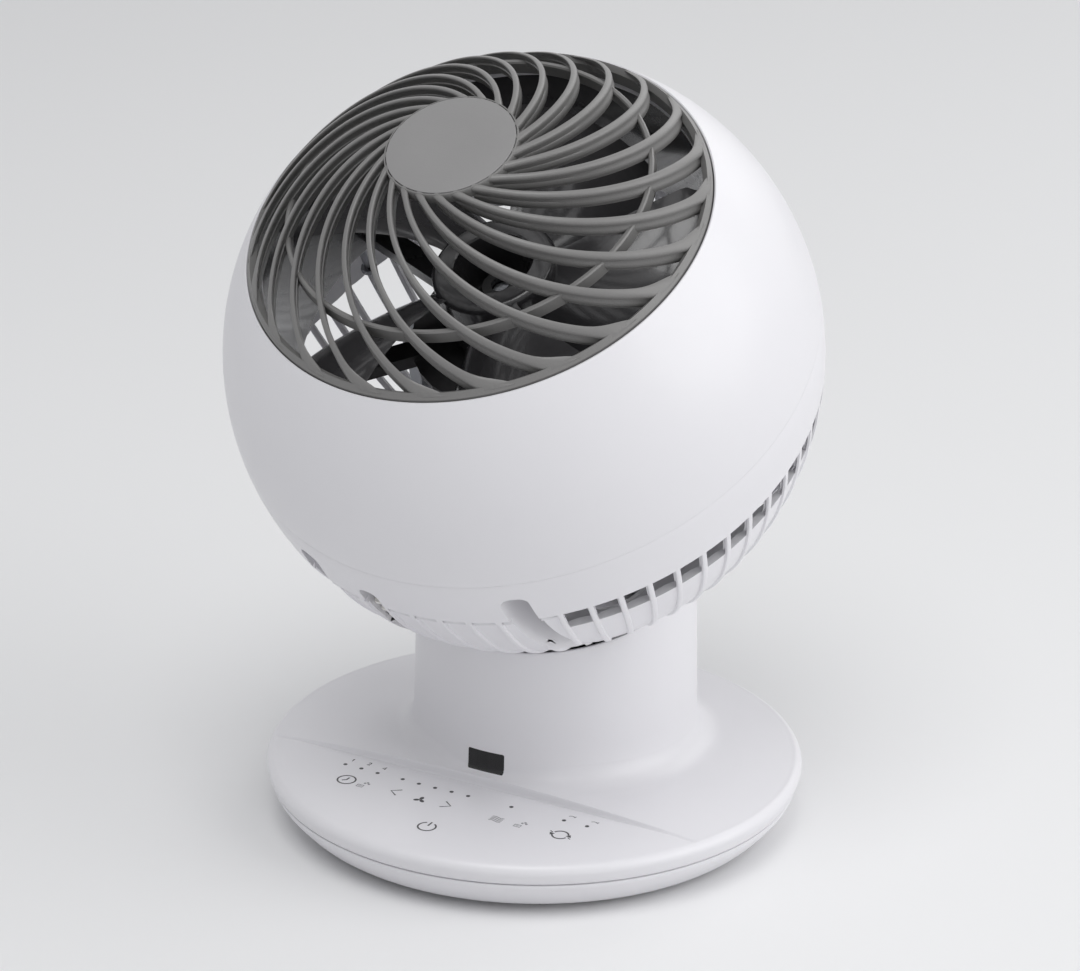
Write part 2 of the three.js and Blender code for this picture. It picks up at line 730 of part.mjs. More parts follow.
function pivotBush(side) {
  const [inner, outer] = [armInner + 0.3, armOuter - 0.3];
  const tube = cut(
    cylinderAlongX(pivotPinRadius + bushWall + seatGap, inner, outer, ballY, ballHeight, coarse),
    cylinderAlongX(pivotPinRadius + seatGap, inner - 1, outer + 1, ballY, ballHeight, coarse));
  return side > 0 ? tube : closed(tube.scale(-1, 1, 1));
}

function tiltMotorBracket() {
  const plateX = drivePlane + wheelThickness / 2 + 3;
  const foot = deckTop + seatGap;
  const plate = box(plateX, plateX + 2, wheelY - 13, wheelY + 13, foot, wheelZ + 6);
  const flange = box(plateX, plateX + 16, wheelY - 13, wheelY + 13, foot, foot + 2);
  const hole = cylinderAlongX(4, plateX - 1, plateX + 3, wheelY, wheelZ, coarse);
  const ball = revolve(arcPoints(ballRadius + runGap, 0, 180, 16), medium).translate(0, ballY, ballHeight);
  return cut(join(plate, flange), hole, ball);
}

function tiltMotor() {
  const from = drivePlane + wheelThickness / 2 + 5 + seatGap;
  const y = wheelY + tiltMotorOffset * Math.sin(rad(yokeLean));
  const z = wheelZ - tiltMotorOffset * Math.cos(rad(yokeLean));
  return cut(
    cylinderAlongX(tiltMotorRadius, from, from + tiltMotorLength, y, z, coarse),
    cylinderAlongX(3.2, from - 1, from + 5, wheelY, wheelZ, coarse));
}

function tiltWheel() {
  const x0 = drivePlane - wheelThickness / 2;
  const x1 = drivePlane + wheelThickness / 2;
  const teeth = extrudeAlongX(gearShape(tiltModule, wheelTeeth, 90 + yokeLean, 0), x0, x1)
    .translate(0, wheelY, wheelZ);
  return join(teeth, cylinderAlongX(2.5, x0 - 1.5, x1 + 8, wheelY, wheelZ));
}

function buildBase(group) {
  group.add(piece('base_top', baseTop(), finish.whiteGloss));
  group.add(piece('base_tray', baseTray(), finish.darkPlastic));
  group.add(piece('ir_window', infraredWindow(), finish.blackPlastic));
  group.add(piece('ir_receiver', infraredReceiver(), finish.blackPlastic));
  group.add(piece('touch_board', touchBoard(), finish.circuitGreen));
  group.add(piece('light_guide', lightGuide(), finish.clearGuide));
  group.add(piece('main_board', mainBoard(), finish.circuitGreen));
  group.add(piece('pan_motor', panMotor(), finish.steel));
  group.add(piece('pan_pinion', panPinion(), finish.gearNylon));
  group.add(piece('yoke_deck', yokeDeck(), finish.steel));
  group.add(piece('yoke_arm_right', yokeArm(1), finish.steel));
  group.add(piece('yoke_arm_left', yokeArm(-1), finish.steel));
  group.add(piece('pivot_bush_right', pivotBush(1), finish.brass));
  group.add(piece('pivot_bush_left', pivotBush(-1), finish.brass));
  group.add(piece('tilt_motor_bracket', tiltMotorBracket(), finish.steel));
  group.add(piece('tilt_motor', tiltMotor(), finish.steel));
  group.add(piece('tilt_wheel', tiltWheel(), finish.gearNylon));
  around(4, trayScrewCircle, trayScrewTurn).forEach(([x, y], i) => {
    const flipped = screwGeometry(-trayBottom + seatGap + screwHeadHeight, 5, x, -y).rotateX(Math.PI);
    group.add(piece(`tray_screw_${i + 1}`, flipped, finish.steel));
  });
  bossPlaces().forEach(([x, y], i) => {
    const headTop = deckTop + seatGap + screwHeadHeight;
    group.add(piece(`deck_screw_${i + 1}`, screwGeometry(headTop, 9, x, y), finish.steel));
  });
}

// ---------------------------------------------------------------- ball housing

const seamFront = -seamBack + seatGap / 2;
const seamRear = -seamBack - seatGap / 2;
const shellScrewTurns = [22, 158, 215, 325];
const shellScrewCircle = 92.5;
const postWidth = 3.6;

function shellScrewPlaces() {
  return shellScrewTurns.map((turn) => (
    [shellScrewCircle * Math.cos(rad(turn)), shellScrewCircle * Math.sin(rad(turn)), rad(turn)]));
}

function polarAt(radius, height) {
  return THREE.MathUtils.radToDeg(Math.acos(height / radius));
}

function frontShell() {
  const outer = arcPoints(ballRadius, polarAt(ballRadius, openingHeight), polarAt(ballRadius, seamFront), 5);
  const inner = arcPoints(ballInner, polarAt(ballInner, seamFront), polarAt(ballInner, ledgeBottom), 3);
  const ledgeInner = openingRadius - ledgeWidth;
  const shell = revolve([
    ...outer, ...inner, [ledgeInner, ledgeBottom], [ledgeInner, ledgeTop], [openingRadius, ledgeTop],
  ], fine);
  const posts = shellScrewPlaces().map(([x, y, turn]) => cut(
    join(
      cylinder(postWidth, seamRear - 7, bracketBack - seatGap, x, y),
      box(0, 9.9, -1.2, 1.2, 4, bracketBack - seatGap).rotateZ(turn).translate(x, y, 0)),
    cylinder(screwRadius + screwGap, seamRear - 8, 8, x, y)));
  return join(shell, ...posts);
}

function windowCutter(turn, rearPolar) {
  const half = 180 / ribCount;
  const edge = (radius) => radius * Math.tan(rad(half)) - ribWidth / 2 / Math.cos(rad(half));
  const [near, far] = [50, ballRadius + 6];
  const shape = polygon([[near, -edge(near)], [far, -edge(far)], [far, edge(far)], [near, edge(near)]]);
  const rear = ballRadius * Math.cos(rad(rearPolar));
  const front = ballRadius * Math.cos(rad(windowFrontPolar));
  return extrude(shape, rear, front).rotateZ(rad(turn));
}

function windowCutters() {
  const pitch = 360 / ribCount;
  const cutters = [];
  for (let turn = longWindowFrom - shortWindowSpan; turn < longWindowTo + shortWindowSpan; turn += pitch) {
    const middle = turn + pitch / 2;
    const isLong = middle > longWindowFrom && middle < longWindowTo;
    cutters.push(windowCutter(middle, isLong ? windowRearPolar : windowShortPolar));
  }
  return cutters;
}

function slotCutter(plane, width, [from, to]) {
  return extrudeAlongX(
    ringSlice(slotWallReach - 14, ballRadius + 6, from, to), plane - width / 2, plane + width / 2);
}

// The two side walls that line a slot, from the shell's wall inwards. They stand into the slot by
// their own thickness, and the slot's cut takes that part away.
function slotWalls(plane, width, [from, to], reach) {
  return [-1, 1].map((side) => {
    const outerSide = plane + side * (width / 2 + slotWall);
    const innerSide = plane + side * (width / 2 - slotWall);
    const farSide = Math.max(Math.abs(outerSide), Math.abs(innerSide));
    const outer = Math.sqrt((ballInner + slotWallRoot) ** 2 - farSide ** 2);
    return extrudeAlongX(ringSlice(reach, outer, from + 1, to - 1),
      Math.min(outerSide, innerSide), Math.max(outerSide, innerSide));
  });
}

// The bowl of the rear shell, with a tongue that reaches into the front shell.
function rearBowl() {
  const halfPitch = Math.PI / ribCount;
  const outside = revolve([
    [0, seamRear], ...arcPoints(ballRadius, polarAt(ballRadius, seamRear), 180, bowlSteps),
  ], ribCount).rotateZ(halfPitch);
  const inside = revolve([
    [0, seamRear + 1], ...arcPoints(ballInner, polarAt(ballInner, seamRear + 1), 180, bowlSteps),
  ], ribCount / 2).rotateZ(halfPitch);
  const tongueOuter = ballInner - 0.9;
  const tongueInner = tongueOuter - 1.5;
  const tongue = revolve([
    [tongueInner, seamRear + 4.5], [tongueOuter, seamRear + 4.5], [tongueOuter, seamRear - 0.4],
    [ballInner + 0.6, seamRear - 0.4], [ballInner + 0.6, seamRear - 3.4],
  ], ribCount / 2).rotateZ(halfPitch);
  return join(cut(outside, inside, ...windowCutters()), tongue);
}

function rearShell() {
  const walls = [
    ...slotWalls(armPlane, armSlotWidth, armSlot, slotWallReach),
    ...slotWalls(-armPlane, armSlotWidth, armSlot, slotWallReach),
    ...slotWalls(drivePlane, driveSlotWidth, driveSlot, rackRoot + 2 * seatGap),
  ];
  const tabs = shellScrewPlaces().map(([x, y, turn]) => (
    box(-4, 9.4, -4, 4, seamRear - 10.6, seamRear - 7.6).rotateZ(turn).translate(x, y, 0)));
  const holes = shellScrewPlaces().map(([x, y]) => (
    cylinder(screwRadius + screwGap, seamRear - 12, seamRear - 6, x, y)));
  const slots = [
    slotCutter(armPlane, armSlotWidth, armSlot), slotCutter(-armPlane, armSlotWidth, armSlot),
    slotCutter(drivePlane, driveSlotWidth, driveSlot),
  ];
  return cut(join(rearBowl(), ...walls, ...tabs), ...slots, ...holes);
}

function tiltRack() {
  const pitch = 360 / rackTeeth;
  const first = 90 + yokeLean + tiltLowest;
  const last = 90 + yokeLean + tiltHighest;
  const rest = 90 + yokeLean + headTilt;
  const before = Math.floor((rest - first) / pitch) + 1;
  const after = Math.floor((last - rest) / pitch) + 1;
  const count = before + after;
  const start = rest - (before - 0.5) * pitch;
  const spineFrom = start - pitch / 2;
  const spineTo = start + (count - 0.5) * pitch;
  const teeth = toothPoints(tiltModule, rackTeeth, 0, count).map(([x, y]) => {
    const angle = Math.atan2(y, x) + rad(start);
    const radius = Math.hypot(x, y);
    return [-radius * Math.sin(angle), radius * Math.cos(angle)];
  });
  const steps = Math.ceil((spineTo - spineFrom) / 8);
  const back = arcPoints(rackRoot, spineTo, spineFrom, steps).map(([r, z]) => [-r, z]);
  const toothed = extrudeAlongX(polygon([...teeth, ...back]),
    drivePlane - rackWidth / 2, drivePlane + rackWidth / 2);
  const spineHalf = driveSlotWidth / 2 + slotWall;
  const spine = extrudeAlongX(ringSlice(rackRoot - rackSpineDepth, rackRoot + seatGap, spineFrom, spineTo),
    drivePlane - spineHalf, drivePlane + spineHalf);
  return join(toothed, spine);
}

function grilleRib(turn) {
  const topRadius = ballRadius - 0.4;
  const centre = new THREE.Vector2(ribArcOffset * Math.cos(turn), ribArcOffset * Math.sin(turn));
  const reach = (radius) => Math.acos(
    (ribArcRadius ** 2 + ribArcOffset ** 2 - radius ** 2) / (2 * ribArcRadius * ribArcOffset));
  const from = reach(hubRadius - 2);
  const to = reach(openingRadius - seatGap - rimWidth / 2);
  const stations = 5;
  const rings = [];
  for (let i = 0; i <= stations; i += 1) {
    const angle = turn + Math.PI + from + (to - from) * i / stations;
    const ring = [];
    for (const [side, drop] of [[-1, 0], [1, 0], [1, 1], [-1, 1]]) {
      const radius = ribArcRadius + side * grilleRibThickness / 2;
      const x = centre.x + radius * Math.cos(angle);
      const y = centre.y + radius * Math.sin(angle);
      const top = Math.sqrt(topRadius ** 2 - x * x - y * y);
      const bottom = Math.max(top - grilleRibDepth, ledgeTop + seatGap);
      ring.push(new THREE.Vector3(x, y, drop ? bottom : top));
    }
    rings.push(ring);
  }
  return loft(rings);
}

function frontGrille() {
  const rimOuter = openingRadius - seatGap;
  const rimInner = rimOuter - rimWidth;
  const topRadius = ballRadius - 0.1;
  const surface = (radius) => Math.sqrt(topRadius ** 2 - radius ** 2);
  const rim = revolve([
    [rimOuter, ledgeTop + seatGap], [rimOuter, surface(rimOuter)],
    [rimInner, surface(rimInner)], [rimInner, ledgeTop + seatGap],
  ], fine);
  const badgeSeat = hubFace - badgeThickness - seatGap;
  const hub = revolve([
    [0, badgeSeat - hubPlate], [hubRadius + 1, badgeSeat - hubPlate], [hubRadius + 1, hubFace - 0.3],
    [hubRadius, hubFace - 0.3], [hubRadius, badgeSeat], [0, badgeSeat],
  ], medium);
  const [hoopInner, hoopOuter] = [hoopRadius - hoopThickness / 2, hoopRadius + hoopThickness / 2];
  const hoop = revolve([
    [hoopInner, hoopTop - hoopHeight], [hoopOuter, hoopTop - hoopHeight],
    [hoopOuter, hoopTop], [hoopInner, hoopTop],
  ], grilleRibs);
  const ribs = [];
  for (let i = 0; i < grilleRibs; i += 1) ribs.push(grilleRib(rad(ribArcTurn + i * 360 / grilleRibs)));
  const badgeSpace = cylinder(hubRadius, badgeSeat, hubFace + 5, 0, 0, medium);
  return cut(join(rim, hub, hoop, ...ribs), badgeSpace);
}

function hubBadge() {
  return cylinder(hubRadius - 0.5, hubFace - badgeThickness, hubFace, 0, 0, medium);
}

function airDuct() {
  const outer = ductRadius + ductWall;
  const frontFlange = Math.sqrt(ballInner ** 2 - ductFront ** 2) - 1;
  const rear = bracketFront + seatGap;
  return revolve([
    [ductRadius, rear], [outer + ductFlange, rear], [outer + ductFlange, rear + ductWall],
    [outer, rear + ductWall], [outer, ductFront - ductWall], [frontFlange, ductFront - ductWall],
    [frontFlange, ductFront], [ductRadius, ductFront],
  ], medium);
}

function motorBracket() {
  const plate = revolve([
    [bearingRadius + 4, bracketBack], [bracketPlateRadius, bracketBack],
    [bracketPlateRadius, bracketBack + bracketPlate], [bearingRadius + 4, bracketBack + bracketPlate],
  ], medium);
  const struts = shellScrewTurns.map((turn) => (
    box(bracketPlateRadius - 4, shellScrewCircle + postWidth, -strutWidth / 2, strutWidth / 2,
      bracketBack, bracketFront).rotateZ(rad(turn))));
  const earInner = armInner - runGap - earThickness;
  const ears = [1, -1].map((side) => {
    const [x0, x1] = side > 0 ? [earInner, earInner + earThickness] : [-earInner - earThickness, -earInner];
    return cut(
      box(x0, x1, -earHalfWidth, earHalfWidth, -earHalfWidth, bracketBack + 1),
      cylinderAlongX(pivotPinRadius + seatGap, x0 - 1, x1 + 1, 0, 0, coarse));
  });
  return join(plate, ...struts, ...ears);
}

function pivotPin(side) {
  const inner = armInner - runGap - earThickness + 0.2;
  const pin = join(
    cylinderAlongX(pivotPinRadius, inner, armOuter + 1.5, 0, 0, coarse),
    cylinderAlongX(armEyeRadius - 2, armOuter + seatGap, armOuter + 2.3, 0, 0, coarse));
  return side > 0 ? pin : closed(pin.scale(-1, 1, 1));
}

function motorCase() {
  const top = motorFront - motorCoverHeight - seatGap;
  const boss = bearingRadius + 3;
  return revolve([
    [0, -motorBack], [motorRadius - 2, -motorBack], [motorRadius, -motorBack + 2], [motorRadius, top],
    [motorRadius - motorWall, top], [motorRadius - motorWall, -motorBack + motorWall],
    [boss, -motorBack + motorWall], [boss, -motorBack + motorWall + bearingHeight],
    [bearingRadius + seatGap, -motorBack + motorWall + bearingHeight],
    [bearingRadius + seatGap, -motorBack + motorWall], [0, -motorBack + motorWall],
  ], medium);
}

function motorCover() {
  const bottom = motorFront - motorCoverHeight;
  return revolve([
    [bearingRadius + seatGap, bottom], [motorRadius, bottom], [motorRadius, motorFront - 1],
    [motorRadius - 1, motorFront], [bearingRadius + seatGap, motorFront],
  ], medium);
}

function bearing(bottom) {
  return revolve([
    [shaftRadius + seatGap, bottom], [bearingRadius, bottom],
    [bearingRadius, bottom + bearingHeight], [shaftRadius + seatGap, bottom + bearingHeight],
  ], coarse);
}

function statorCore() {
  const bottom = -rotorHeight / 2 - 4;
  return revolve([
    [rotorRadius + runGap, bottom], [statorRadius, bottom], [statorRadius + 2, bottom + 3],
    [statorRadius + 2, bottom + rotorHeight - 3], [statorRadius, bottom + rotorHeight],
    [rotorRadius + runGap, bottom + rotorHeight],
  ], coarse);
}

function rotorShaft() {
  const bottom = -rotorHeight / 2 - 4;
  const end = fanFloor + fanHubWall + 9;
  return join(
    cylinder(shaftRadius, -motorBack + motorWall + 0.5, end, 0, 0, coarse),
    cylinder(rotorRadius, bottom, bottom + rotorHeight, 0, 0, coarse));
}

const fanFloor = bracketBack + bracketPlate + 7;

function bladeSection(radius) {
  const share = (radius - fanHubRadius) / (ductRadius - bladeTipGap - fanHubRadius);
  const spread = Math.sin(Math.PI / 2 * Math.min(share, 1));
  const chord = bladeRootChord + (bladeTipChord - bladeRootChord) * spread;
  const pitch = rad(bladeRootPitch + (bladeTipPitch - bladeRootPitch) * share);
  const camber = 0.07 * chord;
  const sweep = 0.35 * share;
  const points = [];
  for (const [along, side] of [[-0.5, 0], [-0.2, 1], [0.2, 1], [0.5, 0], [0.2, -1], [-0.2, -1]]) {
    const s = along * chord;
    const bow = camber * (1 - (2 * along) ** 2);
    const n = bow + side * bladeThickness / 2;
    const around_ = s * Math.cos(pitch) - n * Math.sin(pitch);
    const height = s * Math.sin(pitch) + n * Math.cos(pitch);
    const angle = around_ / radius + sweep;
    points.push(new THREE.Vector3(
      radius * Math.cos(angle), radius * Math.sin(angle), bladeMiddle + height));
  }
  return points;
}

function fanBlades() {
  const tip = ductRadius - bladeTipGap;
  const stations = [fanHubRadius - 1.5, 32, 45, 60, tip];
  const blade = loft(stations.map(bladeSection));
  const blades = [];
  for (let i = 0; i < bladeCount; i += 1) blades.push(blade.clone().rotateZ(i * 2 * Math.PI / bladeCount));
  const top = fanFloor + fanHubHeight;
  const hub = revolve([
    [shaftRadius + seatGap, fanFloor + 2], [fanHubRadius - fanHubWall, fanFloor + 2],
    [fanHubRadius - fanHubWall, fanFloor], [fanHubRadius, fanFloor], [fanHubRadius, top - 2],
    [fanHubRadius - 2, top], [14, top], [14, fanFloor + 2 + fanHubWall],
    [shaftRadius + seatGap, fanFloor + 2 + fanHubWall],
  ], medium);
  return join(hub, ...blades);
}

function bladeNut() {
  const seat = fanFloor + 2 + fanHubWall + seatGap;
  return revolve([
    [shaftRadius + seatGap, seat], [9, seat], [9, seat + 4], [6.5, seat + 9],
    [shaftRadius + seatGap, seat + 9],
  ], coarse);
}

function buildHead(group) {
  group.add(piece('front_shell', frontShell(), finish.whiteGloss));
  group.add(piece('rear_shell', rearShell(), finish.whiteGloss));
  group.add(piece('front_grille', frontGrille(), finish.greyPlastic));
  group.add(piece('hub_badge', hubBadge(), finish.badgeGrey));
  group.add(piece('air_duct', airDuct(), finish.darkPlastic));
  group.add(piece('motor_bracket', motorBracket(), finish.darkPlastic));
  group.add(piece('pivot_pin_right', pivotPin(1), finish.steel));
  group.add(piece('pivot_pin_left', pivotPin(-1), finish.steel));
  group.add(piece('motor_case', motorCase(), finish.steel));
  group.add(piece('motor_cover', motorCover(), finish.steel));
  group.add(piece('bearing_rear', bearing(-motorBack + motorWall + seatGap), finish.steel));
  group.add(piece('bearing_front', bearing(motorFront - bearingHeight + 0.2), finish.steel));
  group.add(piece('stator_core', statorCore(), finish.copper));
  group.add(piece('tilt_rack', tiltRack(), finish.gearNylon));
  group.add(piece('rotor_shaft', rotorShaft(), finish.steel));
  group.add(piece('fan_blades', fanBlades(), finish.darkPlastic));
  group.add(piece('blade_nut', bladeNut(), finish.blackPlastic));
  shellScrewPlaces().forEach(([x, y], i) => {
    const headTop = seamRear - 10.6 - seatGap;
    const screw = screwGeometry(-headTop + screwHeadHeight, 15, x, -y).rotateX(Math.PI);
    group.add(piece(`shell_screw_${i + 1}`, screw, finish.steel));
  });
}

// ---------------------------------------------------------------- assembly

const circulator = new THREE.Group();
const stand = new THREE.Group();
stand.position.y = originShift;
circulator.add(stand);
buildFoot(stand);
buildBase(stand);

const head = new THREE.Group();
head.position.set(0, ballY, ballHeight);
head.rotation.x = rad(90 - headTilt);
stand.add(head);
buildHead(head);

export default circulator;
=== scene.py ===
"""Looks of a table-top air circulator: shells, grille, blades and base, a pale studio and the camera."""
import logging
import math
from collections.abc import Callable, Iterable, Mapping, Sequence
from dataclasses import dataclass, field
from enum import Enum

import bmesh
import bpy
from mathutils import Matrix, Vector


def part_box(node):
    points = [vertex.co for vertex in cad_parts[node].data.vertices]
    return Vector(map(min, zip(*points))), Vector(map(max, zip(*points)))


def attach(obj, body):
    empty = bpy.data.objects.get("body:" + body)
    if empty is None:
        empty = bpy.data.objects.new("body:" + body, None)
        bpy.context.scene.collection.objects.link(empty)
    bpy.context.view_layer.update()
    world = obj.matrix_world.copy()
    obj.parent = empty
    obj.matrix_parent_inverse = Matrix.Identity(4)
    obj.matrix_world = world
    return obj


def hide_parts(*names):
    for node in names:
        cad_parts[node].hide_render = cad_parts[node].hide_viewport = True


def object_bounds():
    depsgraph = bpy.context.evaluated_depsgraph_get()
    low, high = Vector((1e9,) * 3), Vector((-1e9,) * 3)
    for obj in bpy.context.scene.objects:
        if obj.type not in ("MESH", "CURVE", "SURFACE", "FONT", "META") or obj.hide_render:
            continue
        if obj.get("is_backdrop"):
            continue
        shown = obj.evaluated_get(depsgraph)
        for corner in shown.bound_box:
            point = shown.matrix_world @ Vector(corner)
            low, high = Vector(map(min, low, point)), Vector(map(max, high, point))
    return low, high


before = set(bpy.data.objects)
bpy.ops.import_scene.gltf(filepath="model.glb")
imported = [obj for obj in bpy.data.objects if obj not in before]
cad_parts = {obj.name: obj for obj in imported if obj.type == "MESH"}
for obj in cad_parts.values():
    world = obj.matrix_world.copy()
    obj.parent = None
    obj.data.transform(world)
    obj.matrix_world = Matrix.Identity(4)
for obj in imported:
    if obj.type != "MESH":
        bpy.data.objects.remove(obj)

LOG = logging.getLogger("air_circulator")
CAD_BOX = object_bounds()
MILLIMETRE = 0.001
DUST = (0.62, 0.61, 0.59, 1.0)

Point = tuple[float, float, float]
Spot = tuple[float, float]


class Body(Enum):
    """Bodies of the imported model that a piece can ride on."""

    FOOT = "foot"
    BASE = "base"
    HEAD = "head"
    ROTOR = "rotor"


class Slot(Enum):
    """Material slots of the record."""

    WHITE = "white_plastic"
    GREY = "grey_plastic"
    BADGE = "badge_grey"
    DARK = "dark_plastic"
    BLACK = "black_plastic"
    RUBBER = "rubber"
    IRON = "cast_iron"
    BRASS = "brass"
    NYLON = "gear_nylon"
    BOARD = "circuit_board"
    GUIDE = "light_guide"
    WINDING = "winding"
    ALUMINIUM = "aluminium"
    STEEL = "steel"


class Grain(Enum):
    """Ways a surface is finished: how its fine relief runs."""

    MOULDED = "moulded"
    CAST = "cast"
    TURNED = "turned"
    WOUND = "wound"


# ---------------------------------------------------------------- shader effects


def add(tree: bpy.types.NodeTree, kind: str, values: Mapping[str, object] | None = None,
        **settings: str) -> bpy.types.Node:
    """Adds a shader node.

    Args:
        tree: the nodes that it joins.
        kind: type of the node, without its "ShaderNode".
        values: inputs that differ from the node's usual ones.
        settings: the node's own choices, such as its operation.

    Returns:
        The node.
    """
    node = tree.nodes.new(f"ShaderNode{kind}")
    for name, choice in settings.items():
        setattr(node, name, choice)
    for name, value in (values or {}).items():
        node.inputs[name].default_value = value
    return node


def wire(tree: bpy.types.NodeTree, *pairs: tuple[bpy.types.NodeSocket, bpy.types.NodeSocket]) -> None:
    """Links an output to an input, pair by pair."""
    for given, taken in pairs:
        tree.links.new(given, taken)


class Effects:
    """Shader node groups that several finishes share, each built once."""

    def __init__(self) -> None:
        """Builds every group."""
        self.tone = self._tone()
        self.gloss = self._gloss()
        self.relief = self._relief()
        self.lines = self._lines()
        self.dust = self._dust()

    @staticmethod
    def _start(name: str, inputs: Mapping[str, object], output: str, kind: str = "Float"
               ) -> tuple[bpy.types.NodeTree, bpy.types.NodeOutputs, bpy.types.NodeSocket]:
        """Opens a node group that takes a place and some values, and gives one.

        Args:
            name: name of the group.
            inputs: each input and its usual value: a number, a colour of four or a vector of three.
            output: name of the output.
            kind: what the output is, "Float" or "Color".

        Returns:
            The group, what its input node gives, and the socket that takes its result.
        """
        group = bpy.data.node_groups.new(name, "ShaderNodeTree")
        group.interface.new_socket("Vector", in_out="INPUT", socket_type="NodeSocketVector")
        for socket_name, usual in inputs.items():
            size = len(usual) if isinstance(usual, tuple) else 1
            type_name = {1: "Float", 3: "Vector", 4: "Color"}[size]
            socket = group.interface.new_socket(
                socket_name, in_out="INPUT", socket_type=f"NodeSocket{type_name}")
            socket.default_value = usual
        group.interface.new_socket(output, in_out="OUTPUT", socket_type=f"NodeSocket{kind}")
        given = group.nodes.new("NodeGroupInput").outputs
        return group, given, group.nodes.new("NodeGroupOutput").inputs[output]

    def _tone(self) -> bpy.types.NodeTree:
        """Colour that drifts a little between two shades, in broad soft patches.

        Returns:
            The group.
        """
        group, given, result = self._start(
            "Resin tone drift",
            {"Shade": (0.8, 0.8, 0.8, 1.0), "Deeper": (0.7, 0.7, 0.7, 1.0), "Patches": 20.0},
            "Color", "Color")
        broad = add(group, "TexNoise", {"Detail": 3.0, "Roughness": 0.55})
        mix = add(group, "Mix", data_type="RGBA")
        wire(group, (given["Vector"], broad.inputs["Vector"]), (given["Patches"], broad.inputs["Scale"]),
             (broad.outputs["Fac"], mix.inputs["Factor"]), (given["Shade"], mix.inputs["A"]),
             (given["Deeper"], mix.inputs["B"]), (mix.outputs["Result"], result))
        return group

    def _gloss(self) -> bpy.types.NodeTree:
        """Roughness between a polished and a handled value, in soft patches with fine specks.

        Returns:
            The group.
        """
        group, given, result = self._start(
            "Polish and handling", {"Polished": 0.2, "Handled": 0.3, "Patches": 30.0}, "Roughness")
        broad = add(group, "TexNoise", {"Detail": 5.0, "Roughness": 0.62})
        level = add(group, "MapRange", {"From Min": 0.32, "From Max": 0.68})
        wire(group, (given["Vector"], broad.inputs["Vector"]), (given["Patches"], broad.inputs["Scale"]),
             (broad.outputs["Fac"], level.inputs["Value"]), (given["Polished"], level.inputs["To Min"]),
             (given["Handled"], level.inputs["To Max"]), (level.outputs["Result"], result))
        return group

    def _relief(self) -> bpy.types.NodeTree:
        """Fine relief of a moulded or cast skin: small grains over a slow ripple.

        Returns:
            The group.
        """
        group, given, result = self._start(
            "Skin relief", {"Grains": 900.0, "Ripple": 40.0, "Ripple share": 0.5}, "Height")
        grains = add(group, "TexNoise", {"Detail": 2.0})
        ripple = add(group, "TexNoise", {"Detail": 1.0})
        mix = add(group, "Mix")
        wire(group, (given["Vector"], grains.inputs["Vector"]), (given["Vector"], ripple.inputs["Vector"]),
             (given["Grains"], grains.inputs["Scale"]), (given["Ripple"], ripple.inputs["Scale"]),
             (given["Ripple share"], mix.inputs["Factor"]), (grains.outputs["Fac"], mix.inputs["A"]),
             (ripple.outputs["Fac"], mix.inputs["B"]), (mix.outputs["Result"], result))
        return group

    def _lines(self) -> bpy.types.NodeTree:
        """Fine lines left by a cutting tool or by wound wire, across one direction.

        Returns:
            The group.
        """
        group, given, result = self._start(
            "Tool lines", {"Lines": 700.0, "Stretch": (1.0, 1.0, 0.05)}, "Height")
        stretch = add(group, "VectorMath", operation="MULTIPLY")
        lines = add(group, "TexNoise", {"Detail": 3.0})
        wire(group, (given["Vector"], stretch.inputs[0]), (given["Stretch"], stretch.inputs[1]),
             (stretch.outputs["Vector"], lines.inputs["Vector"]), (given["Lines"], lines.inputs["Scale"]),
             (lines.outputs["Fac"], result))
        return group

    def _dust(self) -> bpy.types.NodeTree:
        """Mask of fine dust that settles on faces that look up, broken by specks.

        Returns:
            The group.
        """
        group, given, result = self._start("Settled dust", {"Amount": 0.1, "Specks": 260.0}, "Mask")
        shape = add(group, "NewGeometry")
        split = add(group, "SeparateXYZ")
        upward = add(group, "MapRange", {"From Min": 0.35, "From Max": 1.0})
        specks = add(group, "TexNoise", {"Detail": 4.0})
        broken = add(group, "Math", operation="MULTIPLY")
        amount = add(group, "Math", operation="MULTIPLY")
        wire(group, (shape.outputs["Normal"], split.inputs["Vector"]),
             (split.outputs["Z"], upward.inputs["Value"]),
             (given["Vector"], specks.inputs["Vector"]), (given["Specks"], specks.inputs["Scale"]),
             (upward.outputs["Result"], broken.inputs[0]), (specks.outputs["Fac"], broken.inputs[1]),
             (broken.outputs["Value"], amount.inputs[0]), (given["Amount"], amount.inputs[1]),
             (amount.outputs["Value"], result))
        return group


